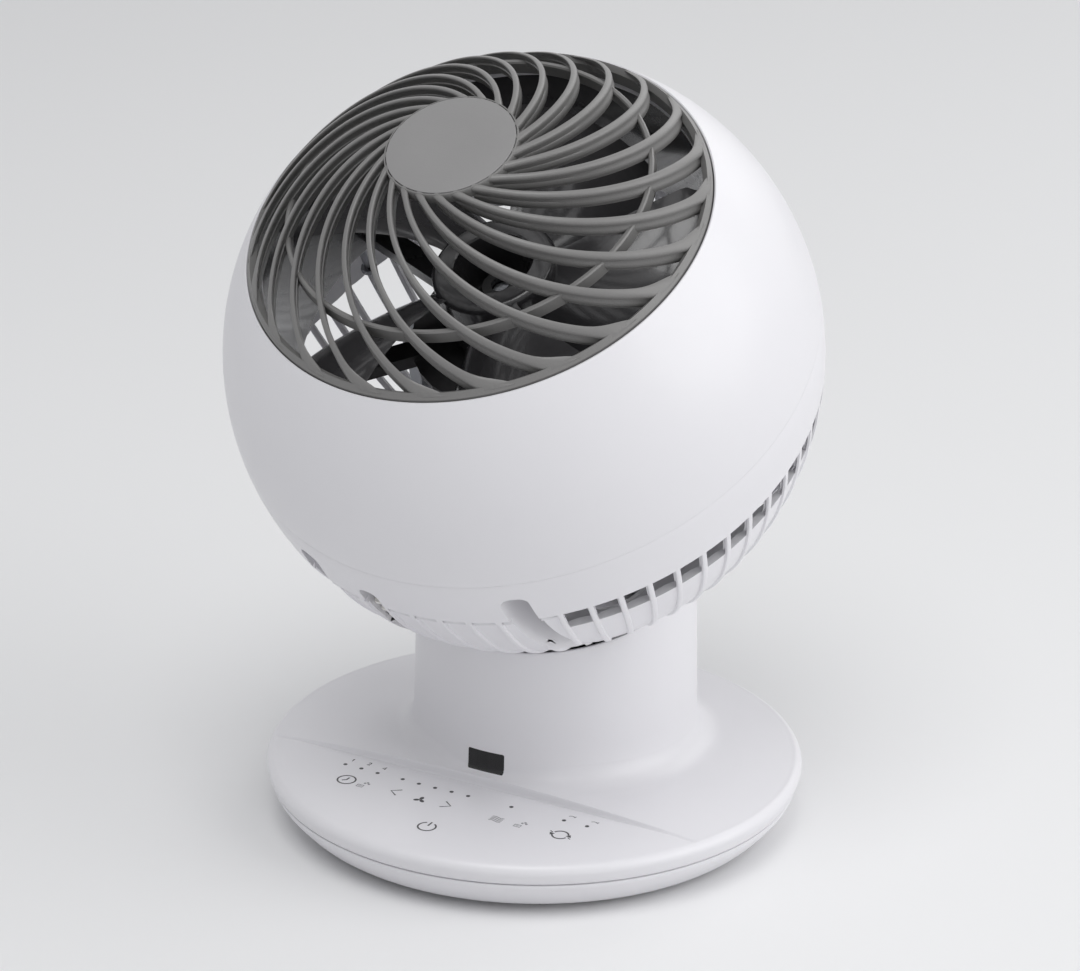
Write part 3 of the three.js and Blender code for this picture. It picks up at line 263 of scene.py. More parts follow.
@dataclass(frozen=True)
class Finish:
    """One finish: its shades, gloss and fine relief."""

    name: str
    slot: Slot
    shade: tuple[float, float, float]
    deeper: tuple[float, float, float]
    polished: float
    handled: float
    grain: Grain = Grain.MOULDED
    grains: float = 900.0
    ripple: float = 45.0
    ripple_share: float = 0.5
    relief: float = 0.02
    patches: float = 18.0
    dust: float = 0.06
    metallic: float = 0.0
    coat: float = 0.0
    coat_roughness: float = 0.1
    specular: float = 0.5
    transmission: float = 0.0
    stretch: Point = (1.0, 1.0, 0.05)

    def build(self, effects: Effects) -> bpy.types.Material:
        """Builds the material.

        Args:
            effects: the shared shader groups.

        Returns:
            The material, ready to put on a piece.
        """
        material = bpy.data.materials.new(self.name)
        material.use_nodes = True
        tree = material.node_tree
        tree.nodes.clear()
        output = add(tree, "OutputMaterial")
        surface = add(tree, "BsdfPrincipled", {
            "Metallic": self.metallic, "Specular IOR Level": self.specular,
            "Transmission Weight": self.transmission})
        if self.coat > 0.0:
            surface.inputs["Coat Weight"].default_value = self.coat
            surface.inputs["Coat Roughness"].default_value = self.coat_roughness
        place = add(tree, "TexCoord").outputs["Object"]
        tone = self._effect(tree, effects.tone, place, {
            "Shade": (*self.shade, 1.0), "Deeper": (*self.deeper, 1.0), "Patches": self.patches})
        dust = self._effect(tree, effects.dust, place, {"Amount": self.dust})
        dusted = add(tree, "Mix", {"B": DUST}, data_type="RGBA")
        gloss = self._effect(tree, effects.gloss, place, {
            "Polished": self.polished, "Handled": self.handled, "Patches": self.patches * 2.5})
        if self.grain in (Grain.TURNED, Grain.WOUND):
            relief = self._effect(tree, effects.lines, place, {
                "Lines": self.grains, "Stretch": self.stretch})
        else:
            relief = self._effect(tree, effects.relief, place, {
                "Grains": self.grains, "Ripple": self.ripple, "Ripple share": self.ripple_share})
        bump = add(tree, "Bump", {"Strength": self.relief, "Distance": MILLIMETRE})
        wire(tree, (dust, dusted.inputs["Factor"]), (tone, dusted.inputs["A"]),
             (dusted.outputs["Result"], surface.inputs["Base Color"]), (gloss, surface.inputs["Roughness"]),
             (relief, bump.inputs["Height"]), (bump.outputs["Normal"], surface.inputs["Normal"]),
             (surface.outputs["BSDF"], output.inputs["Surface"]))
        return material

    @staticmethod
    def _effect(tree: bpy.types.NodeTree, group: bpy.types.NodeTree, place: bpy.types.NodeSocket,
                values: Mapping[str, object]) -> bpy.types.NodeSocket:
        """Puts a shared group into a material.

        Args:
            tree: the material's nodes.
            group: the shared group.
            place: the socket that gives object coordinates.
            values: the group's values.

        Returns:
            The socket with the group's result.
        """
        node = add(tree, "Group")
        node.node_tree = group
        for name, value in values.items():
            node.inputs[name].default_value = value
        tree.links.new(place, node.inputs["Vector"])
        return node.outputs[0]


def grey(level: int) -> float:
    """Linear value of a screen grey.

    Args:
        level: grey on screen, 0 to 255.

    Returns:
        The linear value.
    """
    share = level / 255.0
    return share / 12.92 if share <= 0.04045 else ((share + 0.055) / 1.055) ** 2.4


def shade(red: int, green: int, blue: int) -> tuple[float, float, float]:
    """Linear colour of three screen values."""
    return grey(red), grey(green), grey(blue)


class Finishes:
    """All finishes of the circulator, each built once."""

    def __init__(self, effects: Effects) -> None:
        """Builds every finish.

        Args:
            effects: the shared shader groups.
        """
        self.shell = self._made(effects, Finish(
            "Glossy white shell", Slot.WHITE, shade(229, 228, 231), shade(225, 224, 228), 0.33, 0.42,
            grains=1400.0, ripple=14.0, ripple_share=0.85, relief=0.05, coat=0.12, coat_roughness=0.3,
            dust=0.04))
        self.grille = self._made(effects, Finish(
            "Grey grille", Slot.GREY, shade(124, 123, 122), shade(115, 114, 113), 0.3, 0.42,
            grains=1500.0, relief=0.12, dust=0.05))
        self.badge = self._made(effects, Finish(
            "Satin hub disc", Slot.BADGE, shade(142, 141, 141), shade(136, 135, 135), 0.36, 0.44,
            grains=2200.0, relief=0.1, dust=0.03))
        self.blade = self._made(effects, Finish(
            "Dark glossy blades", Slot.DARK, shade(66, 65, 67), shade(57, 56, 58), 0.16, 0.26,
            grains=1200.0, relief=0.05, coat=0.5, dust=0.05))
        self.duct = self._made(effects, Finish(
            "Dark glossy duct", Slot.DARK, shade(66, 65, 67), shade(57, 56, 58), 0.2, 0.3,
            grains=1200.0, relief=0.06, coat=0.3, dust=0.05))
        self.black = self._made(effects, Finish(
            "Black plastic", Slot.BLACK, shade(26, 26, 27), shade(20, 20, 21), 0.35, 0.5,
            grains=1400.0, relief=0.15, dust=0.03))
        self.window = self._made(effects, Finish(
            "Smoked window", Slot.BLACK, shade(9, 9, 10), shade(7, 7, 8), 0.2, 0.28,
            grains=2000.0, relief=0.02, dust=0.01))
        self.print = self._made(effects, Finish(
            "Key print", Slot.BLACK, shade(62, 61, 64), shade(52, 51, 54), 0.42, 0.55,
            grains=2500.0, relief=0.1, dust=0.02))
        self.pale_print = self._made(effects, Finish(
            "Pale key print", Slot.GREY, shade(150, 149, 152), shade(138, 137, 141), 0.42, 0.55,
            grains=2500.0, relief=0.1, dust=0.02))
        self.rubber = self._made(effects, Finish(
            "Rubber", Slot.RUBBER, shade(38, 37, 37), shade(30, 30, 30), 0.7, 0.85,
            grains=800.0, relief=0.35, dust=0.08))
        self.iron = self._made(effects, Finish(
            "Cast ballast", Slot.IRON, shade(84, 82, 80), shade(60, 58, 56), 0.6, 0.75, Grain.CAST,
            grains=500.0, relief=0.6, metallic=0.8))
        self.brass = self._made(effects, Finish(
            "Turned brass", Slot.BRASS, shade(196, 160, 92), shade(176, 138, 74), 0.25, 0.4, Grain.TURNED,
            grains=1500.0, relief=0.2, metallic=1.0, stretch=(1.0, 0.05, 0.05)))
        self.nylon = self._made(effects, Finish(
            "Gear nylon", Slot.NYLON, shade(228, 227, 223), shade(220, 219, 214), 0.4, 0.52,
            grains=900.0, relief=0.12))
        self.board = self._made(effects, Finish(
            "Circuit board", Slot.BOARD, shade(24, 92, 58), shade(18, 74, 46), 0.3, 0.42,
            grains=600.0, relief=0.15, patches=160.0, coat=0.3))
        self.guide = self._made(effects, Finish(
            "Light guide", Slot.GUIDE, shade(236, 238, 240), shade(228, 231, 234), 0.12, 0.2,
            grains=900.0, relief=0.04, transmission=0.6))
        self.winding = self._made(effects, Finish(
            "Wound copper", Slot.WINDING, shade(184, 104, 58), shade(150, 78, 40), 0.28, 0.42, Grain.WOUND,
            grains=1600.0, relief=0.6, metallic=0.9, stretch=(0.08, 0.08, 1.0)))
        self.steel = self._made(effects, Finish(
            "Plated steel", Slot.STEEL, shade(176, 178, 182), shade(160, 162, 167), 0.24, 0.38, Grain.TURNED,
            grains=1200.0, relief=0.14, metallic=1.0))
        self.aluminium = self._made(effects, Finish(
            "Cast aluminium", Slot.ALUMINIUM, shade(170, 171, 174), shade(150, 152, 156), 0.35, 0.5,
            Grain.CAST, grains=700.0, relief=0.3, metallic=1.0))

    @staticmethod
    def _made(effects: Effects, finish: Finish) -> tuple[bpy.types.Material, Slot]:
        """Builds one finish and keeps its slot with it."""
        return finish.build(effects), finish.slot


# ---------------------------------------------------------------- mesh building


@dataclass
class HeadAxes:
    """Where the ball stands at rest: its centre and the direction that it blows in."""

    centre: Vector = field(default_factory=lambda: Vector((0.0, -1.45, 178.2)))
    tilt: float = 60.0

    def matrix(self) -> Matrix:
        """Turns points of the ball, in millimetres with +Z along the air stream, into the row frame."""
        return Matrix.Translation(self.centre) @ Matrix.Rotation(math.radians(90.0 - self.tilt), 4, "X")


class Form:
    """Points in millimetres and faces of one piece, before it becomes an object."""

    def __init__(self, name: str, place: Matrix | None = None) -> None:
        """Starts an empty form.

        Args:
            name: name of the piece.
            place: turns the form's own millimetres into the row frame's.
        """
        self.name = name
        self.place = place or Matrix.Identity(4)
        self.mesh = bmesh.new()

    def ring(self, points: Iterable[Point]) -> list[bmesh.types.BMVert]:
        """Adds a row of points and returns them."""
        return [self.mesh.verts.new(self.place @ Vector(point)) for point in points]

    def skin(self, rows: Sequence[Sequence[bmesh.types.BMVert]], around: bool = True, along: bool = False,
             keep: Callable[[int, int], bool] | None = None) -> None:
        """Joins rows of points with four-sided faces.

        Args:
            rows: rows with the same number of points.
            around: whether each row closes on itself.
            along: whether the last row joins the first.
            keep: tells, by row and column, which faces are made; all where it is None.
        """
        count = len(rows[0])
        pairs = len(rows) if along else len(rows) - 1
        for i in range(pairs):
            low, high = rows[i], rows[(i + 1) % len(rows)]
            for j in range(count if around else count - 1):
                if keep is None or keep(i, j):
                    k = (j + 1) % count
                    self.mesh.faces.new((low[j], low[k], high[k], high[j]))

    def cap(self, row: Sequence[bmesh.types.BMVert], turned: bool = False) -> None:
        """Closes a row of points with one face."""
        self.mesh.faces.new(list(reversed(row)) if turned else list(row))

    def lathe(self, outline: Sequence[Spot], segments: int, centre: Spot = (0.0, 0.0)) -> None:
        """Turns a closed outline of radius and height round an upright axis.

        Args:
            outline: radius and height of each corner, closed from last to first.
            segments: steps in a full turn.
            centre: where the axis stands.
        """
        turns = [round_about(1.0, 360.0 * j / segments) for j in range(segments)]
        self.skin([self.ring((centre[0] + radius * x, centre[1] + radius * y, height) for x, y in turns)
                   for radius, height in outline], along=True)

    def loft(self, sections: Sequence[Sequence[Point]], closed: bool = False) -> None:
        """Joins cross-sections into one solid, capped at both ends unless it closes on itself.

        Args:
            sections: cross-sections with the same number of points.
            closed: whether the last one joins the first.
        """
        rows = [self.ring(section) for section in sections]
        self.skin(rows, along=closed)
        if not closed:
            self.cap(rows[0], turned=True)
            self.cap(rows[-1])

    def build(self, sharp: float = 32.0) -> bpy.types.Object:
        """Welds the form and makes an object of it, smooth up to an edge angle.

        Args:
            sharp: edges steeper than this many degrees stay crisp.

        Returns:
            The object, in metres in the row frame.
        """
        bmesh.ops.remove_doubles(self.mesh, verts=self.mesh.verts, dist=0.002)
        bmesh.ops.recalc_face_normals(self.mesh, faces=self.mesh.faces)
        bmesh.ops.scale(self.mesh, vec=(MILLIMETRE,) * 3, verts=self.mesh.verts)
        data = bpy.data.meshes.new(self.name)
        self.mesh.to_mesh(data)
        self.mesh.free()
        piece = bpy.data.objects.new(self.name, data)
        bpy.context.scene.collection.objects.link(piece)
        smooth(piece, sharp)
        return piece


def smooth(piece: bpy.types.Object, sharp: float) -> None:
    """Shades a piece smooth and keeps its steeper edges crisp."""
    piece.data.shade_smooth()
    piece.data.set_sharp_from_angle(angle=math.radians(sharp))


def bake(piece: bpy.types.Object, sharp: float = 32.0) -> None:
    """Turns a piece's modifiers into its mesh.

    Args:
        piece: the piece.
        sharp: edges steeper than this many degrees stay crisp.
    """
    graph = bpy.context.evaluated_depsgraph_get()
    made = bpy.data.meshes.new_from_object(piece.evaluated_get(graph), depsgraph=graph)
    piece.modifiers.clear()
    piece.data = made
    smooth(piece, sharp)


def carve(piece: bpy.types.Object, cutters: Sequence[bpy.types.Object], sharp: float = 32.0) -> None:
    """Cuts the cutters out of a piece and deletes them.

    Args:
        piece: the piece that is cut.
        cutters: solids that are taken away.
        sharp: edges steeper than this many degrees stay crisp.
    """
    for cutter in cutters:
        cut = piece.modifiers.new("cut", "BOOLEAN")
        cut.operation = "DIFFERENCE"
        cut.solver = "MANIFOLD"
        cut.object = cutter
    bpy.context.view_layer.update()
    bake(piece, sharp)
    for cutter in cutters:
        bpy.data.objects.remove(cutter)


def merge(target: bpy.types.Object, extra: bpy.types.Object, sharp: float = 32.0) -> None:
    """Adds the mesh of one object to another and deletes the first.

    Args:
        target: the object that stays.
        extra: the object that is added and deleted.
        sharp: edges steeper than this many degrees stay crisp.
    """
    joined = bmesh.new()
    joined.from_mesh(target.data)
    joined.from_mesh(extra.data)
    joined.to_mesh(target.data)
    joined.free()
    bpy.data.objects.remove(extra)
    smooth(target, sharp)


def dress(piece: bpy.types.Object, finish: tuple[bpy.types.Material, Slot], body: Body | None,
          *stands_for: str) -> bpy.types.Object:
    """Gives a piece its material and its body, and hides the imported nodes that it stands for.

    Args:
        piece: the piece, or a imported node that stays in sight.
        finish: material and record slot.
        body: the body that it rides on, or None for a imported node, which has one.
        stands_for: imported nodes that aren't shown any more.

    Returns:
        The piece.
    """
    material, slot = finish
    piece.data.materials.clear()
    piece.data.materials.append(material)
    if body is not None:
        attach(piece, body.value)
    if stands_for:
        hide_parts(*stands_for)
    LOG.info("%s: %d faces, %s", piece.name, len(piece.data.polygons), material.name)
    return piece


def blend(low: float, high: float, value: float) -> float:
    """Smooth step from 0 at low to 1 at high."""
    share = min(max((value - low) / (high - low), 0.0), 1.0)
    return share * share * (3.0 - 2.0 * share)


def round_about(radius: float, turn: float, centre: Spot = (0.0, 0.0)) -> Spot:
    """Point at a radius and a turn in degrees round a centre."""
    angle = math.radians(turn)
    return centre[0] + radius * math.cos(angle), centre[1] + radius * math.sin(angle)


def on_ball(radius: float, polar: float, turn: float = 0.0) -> Point:
    """Point of a ball by its angle from the air stream and its turn round it, in degrees."""
    height, flat = round_about(radius, polar)
    return *round_about(flat, turn), height


def arc(radius: float, first: float, last: float, steps: int, centre: Spot = (0.0, 0.0)) -> list[Spot]:
    """Radius and height of points on a circle, by angle from straight up."""
    step = (last - first) / steps
    return [round_about(radius, 90.0 - first - step * i, centre) for i in range(steps + 1)]


# ---------------------------------------------------------------- ball


@dataclass
class FrontShell:
    """Front half of the ball, with the lip and the ledge that hold the grille."""

    axes: HeadAxes
    radius: float = 104.88
    wall: float = 2.2
    opening: float = 81.2
    lip_round: float = 0.7
    ledge_inner: float = 77.4
    ledge_top: float = 61.17
    ledge_bottom: float = 59.17
    seam: float = -1.22
    edge_round: float = 0.25
    segments: int = 200

    def build(self, finishes: Finishes) -> None:
        """Builds the shell.

        Args:
            finishes: all finishes.
        """
        form = Form("front_housing", self.axes.matrix())
        lip_polar = math.degrees(math.asin((self.opening + self.lip_round) / self.radius))
        inner = self.radius - self.wall
        lip_height = math.sqrt(self.radius ** 2 - (self.opening + self.lip_round) ** 2)
        outer = arc(self.radius, lip_polar, 90.5, 40)
        outline = [
            *outer, (self.radius - self.edge_round, self.seam),
            (inner, self.seam), *arc(inner, 88.0, 56.0, 12),
            (self.opening + 1.4, self.ledge_bottom), (self.ledge_inner, self.ledge_bottom),
            (self.ledge_inner, self.ledge_top), (self.opening, self.ledge_top),
            (self.opening, lip_height - 0.55), (self.opening + 0.2, lip_height - 0.16),
        ]
        form.lathe(outline, self.segments)
        dress(form.build(), finishes.shell, Body.HEAD, "front_shell")


@dataclass
class Slit:
    """A slot through the back of the ball, round the tilt axis."""

    plane: float
    width: float
    first: float
    last: float
    corner: float
    reach: float


@dataclass
class RearShell:
    """Back half of the ball: a plain band, sixty ribs with windows between them, and the lined slots."""

    axes: HeadAxes
    radius: float = 104.88
    wall: float = 2.6
    seam: float = -1.38
    ribs: int = 60
    rib_half: float = 0.95
    rib_slope: float = 0.22
    window_front: float = 102.7
    window_rear: float = 142.0
    window_short: float = 109.8
    slit_rear: float = 103.75
    recess: float = 0.85
    liner: float = 1.5
    slits: tuple[Slit, ...] = (
        Slit(40.25, 9.3, 95.5, 204.5, 3.9, 82.0), Slit(-40.25, 9.3, 95.5, 204.5, 3.9, 82.0),
        Slit(-15.0, 8.0, 98.0, 202.0, 3.6, 95.0))

    def rows(self) -> list[float]:
        """Angles from the air stream at which the shell has rows of points.

        Returns:
            The angles in degrees, from the seam to the back.
        """
        first = math.degrees(math.acos(self.seam / self.radius))
        ends = [self.window_front, 103.05, self.slit_rear, 104.1, 105.5, 107.8, self.window_short, 110.5]
        return [first, first + 0.12, 94.0, 97.0, 100.0, 102.2, *ends,
                *(113.0 + 3.2 * i for i in range(8)), 137.6, 139.4, 140.8, 141.6, self.window_rear, 142.5,
                *(144.5 + 3.5 * i for i in range(10)), 179.2]

    def columns(self) -> list[tuple[float, float, float]]:
        """Turn in degrees, offset in millimetres and height share of each column of points.

        Returns:
            Ten columns for each rib.
        """
        pitch = 360.0 / self.ribs
        edge = self.rib_half
        made = []
        for i in range(self.ribs):
            turn = pitch * i
            made += [(turn, -edge - self.rib_slope, 0.0), (turn, -edge + 0.08, 0.86),
                     (turn, -edge * 0.6, 1.0), (turn, 0.0, 1.0), (turn, edge * 0.6, 1.0),
                     (turn, edge - 0.08, 0.86), (turn, edge + self.rib_slope, 0.0),
                     *((turn + pitch * share, 0.0, 0.0) for share in (0.34, 0.5, 0.66))]
        return made

    @staticmethod
    def sector(turn: float) -> str:
        """Which windows stand at a turn: "long", "short" or "slit".

        Args:
            turn: turn round the air stream, in degrees.

        Returns:
            The kind of window.
        """
        low = (turn + 90.0) % 360.0
        if 96.0 < low < 264.0:
            return "long"
        return "short" if 28.0 < low < 332.0 else "slit"

    def depth(self, polar: float, share: float, turn: float) -> float:
        """How far the skin lies below the ball's surface.

        Args:
            polar: angle from the air stream.
            share: 1 on top of a rib, 0 between ribs.
            turn: turn round the air stream.

        Returns:
            The depth in millimetres.
        """
        front = self.slit_rear if self.sector(turn) == "slit" else self.window_front
        fade = blend(front - 0.05, front + 0.3, polar) * (1.0 - blend(139.0, 141.8, polar))
        lip = 0.12 * (1.0 - blend(90.8, 90.95, polar))
        return lip + self.recess * (1.0 - share) * fade

    def skin(self) -> bpy.types.Object:
        """Builds the skin with its ribs and windows.

        Returns:
            The skin, with a wall that isn't baked yet.
        """
        form = Form("rear_housing", self.axes.matrix())
        columns = self.columns()
        rows = self.rows()
        pitch = 360.0 / self.ribs
        made = []
        for polar in rows:
            flat = self.radius * math.sin(math.radians(polar))
            points = []
            for turn, offset, share in columns:
                most = math.radians(pitch * 0.3) * flat
                reach = max(-most, min(most, offset))
                angle = turn + math.degrees(reach / flat)
                points.append(on_ball(self.radius - self.depth(polar, share, angle), polar, angle))
            made.append(form.ring(points))

        def closed(i: int, j: int) -> bool:
            """Whether the face behind row i and column j is there."""
            middle = 0.5 * (rows[i] + rows[i + 1])
            between = j % 10 in (6, 7, 8, 9)
            if not between or middle < self.window_front:
                return True
            kind = self.sector(360.0 * (j // 10) / self.ribs + 0.5 * pitch)
            last = {"long": self.window_rear, "short": self.window_short, "slit": self.slit_rear}[kind]
            return middle > last

        form.skin(made, keep=closed)
        form.cap(made[-1])
        piece = form.build()
        thick = piece.modifiers.new("wall", "SOLIDIFY")
        thick.thickness = self.wall * MILLIMETRE
        thick.offset = -1.0
        return piece

    def half_width(self, slit: Slit, angle: float) -> float:
        """Half the width of a slot at an angle, narrower near its rounded ends.

        Args:
            slit: the slot.
            angle: angle round the tilt axis, in degrees.

        Returns:
            Half the width in millimetres.
        """
        along = math.radians(min(angle - slit.first, slit.last - angle)) * self.radius
        if along >= slit.corner:
            return slit.width / 2
        drop = slit.corner - max(along, 0.0)
        return slit.width / 2 - slit.corner + math.sqrt(max(slit.corner ** 2 - drop ** 2, 0.0))

    def stations(self, slit: Slit) -> list[float]:
        """Angles at which a slot has cross-sections, closer together near its ends.

        Args:
            slit: the slot.

        Returns:
            The angles in degrees.
        """
        end = math.degrees(slit.corner / self.radius)
        near = [end * share for share in (0.0, 0.04, 0.12, 0.25, 0.42, 0.62, 0.82, 1.0)]
        count = 40
        step = (slit.last - slit.first - 2 * end) / count
        middle = [slit.first + end + step * i for i in range(1, count)]
        return [*(slit.first + a for a in near), *middle, *(slit.last - a for a in reversed(near))]

    def cutter(self, slit: Slit) -> bpy.types.Object:
        """Builds the solid that opens a slot.

        Args:
            slit: the slot.

        Returns:
            The solid.
        """
        form = Form("slot_cutter", self.axes.matrix())
        sections = []
        for angle in self.stations(slit):
            half = self.half_width(slit, angle)
            turn = math.radians(angle)
            sections.append([
                (slit.plane + side * half, -reach * math.sin(turn), reach * math.cos(turn))
                for side, reach in ((-1, 70.0), (1, 70.0), (1, 112.0), (-1, 112.0))])
        form.loft(sections)
        return form.build()

    def lining(self, slit: Slit) -> bpy.types.Object:
        """Builds the wall that lines a slot, all round its outline.

        Args:
            slit: the slot.

        Returns:
            The wall.
        """
        form = Form("slot_lining", self.axes.matrix())
        angles = self.stations(slit)
        path = [(slit.plane + self.half_width(slit, a), a) for a in angles]
        path += [(slit.plane - self.half_width(slit, a), a) for a in reversed(angles)]
        sections = []
        count = len(path)
        for i, (x, angle) in enumerate(path):
            before, after = path[i - 1], path[(i + 1) % count]
            run = (after[0] - before[0], math.radians(after[1] - before[1]) * 96.0)
            size = math.hypot(*run) or 1.0
            out = (run[1] / size, -run[0] / size)
            section = []
            for spread, deep in ((0.06, False), (self.liner, False), (self.liner, True), (0.06, True)):
                px = x + out[0] * spread
                turn = math.radians(angle) + out[1] * spread / 96.0
                flat = math.sqrt((self.radius - 1.6) ** 2 - px * px)
                reach = slit.reach if deep else flat
                section.append((px, -reach * math.sin(turn), reach * math.cos(turn)))
            sections.append(section)
        form.loft(sections, closed=True)
        return form.build()

    def tongue(self) -> bpy.types.Object:
        """Builds the ring that reaches under the front shell's edge.

        Returns:
            The ring.
        """
        form = Form("seam_tongue", self.axes.matrix())
        outer = self.radius - 0.16
        form.lathe([(outer - 2.0, self.seam - 3.0), (outer, self.seam - 3.0), (outer, self.seam + 0.6),
                    (outer - 2.0, self.seam + 3.0)], 160)
        return form.build()

    def build(self, finishes: Finishes) -> None:
        """Builds the shell with its slots.

        Args:
            finishes: all finishes.
        """
        piece = self.skin()
        carve(piece, [self.cutter(slit) for slit in self.slits])
        for slit in self.slits:
            merge(piece, self.lining(slit))
        merge(piece, self.tongue())
        dress(piece, finishes.shell, Body.HEAD, "rear_shell")


@dataclass
class FrontGrille:
    """Swirl grille: curved ribs between the hub and a sloping rim, tied by a round hoop."""

    axes: HeadAxes
    ribs: int = 22
    thickness: float = 2.1
    depth: float = 6.7
    arc_radius: float = 51.0
    arc_offset: float = 38.0
    first_turn: float = 3.9
    ball: float = 104.6
    rim_outer: float = 80.9
    rim_top: float = 79.5
    rim_inner: float = 77.3
    floor: float = 61.5
    hub: float = 22.5
    hub_face: float = 102.4
    hub_wall: float = 0.6
    hoop: float = 62.9
    hoop_top: float = 80.0
    hoop_height: float = 5.0
    hoop_half: float = 0.95
    stations: int = 40
    flare: float = 1.7
    side: tuple[Spot, ...] = (
        (0.4, 0.03), (0.75, 0.22), (0.94, 0.55), (1.0, 1.0), (0.96, 1.6), (0.55, 1.95), (0.5, 3.5),
        (0.82, 3.85), (0.82, 5.3), (0.55, 5.6))

    def height(self, radius: float) -> float:
        """Height of the ball's surface over a radius."""
        return math.sqrt(self.ball ** 2 - radius ** 2)

    def rib(self, form: Form, turn: float) -> None:
        """Adds one curved rib.

        Args:
            form: the grille's form.
            turn: direction of its arc's centre, in radians.
        """
        cx, cy = self.arc_offset * math.cos(turn), self.arc_offset * math.sin(turn)

        def reach(radius: float) -> float:
            """Angle along the arc at a distance from the middle of the grille."""
            return math.acos((self.arc_radius ** 2 + self.arc_offset ** 2 - radius ** 2)
                             / (2 * self.arc_radius * self.arc_offset))

        first, last = reach(self.hub - 0.4), reach(self.rim_outer + 1.6)
        sections = []
        for i in range(self.stations + 1):
            angle = turn + math.pi + first + (last - first) * i / self.stations
            ux, uy = math.cos(angle), math.sin(angle)
            mx, my = cx + self.arc_radius * ux, cy + self.arc_radius * uy
            radius = math.hypot(mx, my)
            flared = blend(self.rim_inner - 3.4, self.rim_outer + 1.0, radius) ** 2
            wide = self.thickness / 2 + self.flare * flared
            wide += 0.35 * (1.0 - blend(self.hub, self.hub + 3.0, radius))
            side_line = [*self.side, (0.5, self.depth)]
            shape = [*((-side, drop) for side, drop in reversed(side_line)), (0.0, 0.0), *side_line]
            section = []
            for side, drop in shape:
                x, y = mx + ux * side * wide, my + uy * side * wide
                most = self.rim_outer - 0.6
                inward = min(1.0, most / math.hypot(x, y))
                x, y = x * inward, y * inward
                top = self.height(math.hypot(x, y)) - drop - 0.04
                section.append((x, y, max(top, self.floor + 0.02 * (self.depth - drop))))
            sections.append(section)
        form.loft(sections)

    def build(self, finishes: Finishes) -> None:
        """Builds the grille in one piece.

        Args:
            finishes: all finishes.
        """
        form = Form("swirl_grille", self.axes.matrix())
        top = self.height(self.rim_outer)
        form.lathe([
            (self.rim_outer, self.floor), (self.rim_outer, top - 0.35), (self.rim_outer - 0.3, top - 0.02),
            (self.rim_top, self.height(self.rim_top) - 0.05),
            (self.rim_top - 0.5, self.height(self.rim_top) - 0.45),
            (self.rim_inner + 0.3, self.height(self.rim_inner) - 4.2), (self.rim_inner, self.floor + 0.8),
            (self.rim_inner, self.floor),
        ], 220)
        hub, wall, face = self.hub, self.hub + self.hub_wall, self.hub_face
        low = face - 4.2
        form.lathe([
            (hub - 3.0, low), (wall, low), (wall, face - 0.5), (wall - 0.15, face - 0.3),
            (hub + 0.1, face - 0.25), (hub, face - 0.4), (hub, face - 1.9), (hub - 3.0, face - 1.9),
        ], 120)
        plate = 0.99 * (hub - 2.9)
        form.cap(form.ring((*round_about(plate, turn), low + 0.6) for turn in range(0, 360, 6)))
        hoop_low = self.hoop_top - self.hoop_height
        form.lathe([
            (self.hoop - self.hoop_half, hoop_low), (self.hoop + self.hoop_half, hoop_low),
            (self.hoop + self.hoop_half, self.hoop_top - 0.6), (self.hoop + 0.5, self.hoop_top - 0.1),
            (self.hoop - 0.5, self.hoop_top - 0.1), (self.hoop - self.hoop_half, self.hoop_top - 0.6),
        ], 160)
        for i in range(self.ribs):
            self.rib(form, math.radians(self.first_turn + 360.0 * i / self.ribs))
        dress(form.build(40.0), finishes.grille, Body.HEAD, "front_grille")


@dataclass
class HubDisc:
    """Plain satin disc in the middle of the grille."""

    axes: HeadAxes
    radius: float = 22.28
    face: float = 102.4
    thickness: float = 1.4

    def build(self, finishes: Finishes) -> None:
        """Builds the disc.

        Args:
            finishes: all finishes.
        """
        form = Form("hub_disc", self.axes.matrix())
        low = self.face - self.thickness
        form.lathe([
            (0.0, low), (self.radius, low), (self.radius, self.face - 0.35),
            (self.radius - 0.12, self.face - 0.1), (self.radius - 0.4, self.face - 0.02),
            (self.radius * 0.5, self.face), (0.0, self.face),
        ], 140)
        dress(form.build(), finishes.badge, Body.HEAD, "hub_badge")


@dataclass
class AirDuct:
    """Dark round duct that the blades turn in."""

    axes: HeadAxes
    bore: float = 78.5
    wall: float = 1.8
    rear: float = 17.0
    skirt: float = 8.0
    front: float = 58.8
    flange: float = 5.5
    mouth: float = 83.2

    def build(self, finishes: Finishes) -> None:
        """Builds the duct.

        Args:
            finishes: all finishes.
        """
        form = Form("duct_ring", self.axes.matrix())
        bore, outer = self.bore, self.bore + self.wall
        end, brim = self.rear - self.skirt, outer + self.flange
        form.lathe([
            (bore + 0.3, end), (outer - 0.3, end), (outer, self.rear - 1.0), (outer + 0.5, self.rear),
            (brim, self.rear), (brim, self.rear + 1.8), (outer + 0.6, self.rear + 1.8),
            (outer, self.rear + 2.4), (outer, self.front - 2.2), (outer + 0.4, self.front - 1.8),
            (self.mouth, self.front - 1.8), (self.mouth, self.front), (bore + 0.9, self.front),
            (bore + 0.25, self.front - 0.35), (bore, self.front - 1.2), (bore, end + 0.5),
        ], 160)
        dress(form.build(), finishes.duct, Body.HEAD, "air_duct")


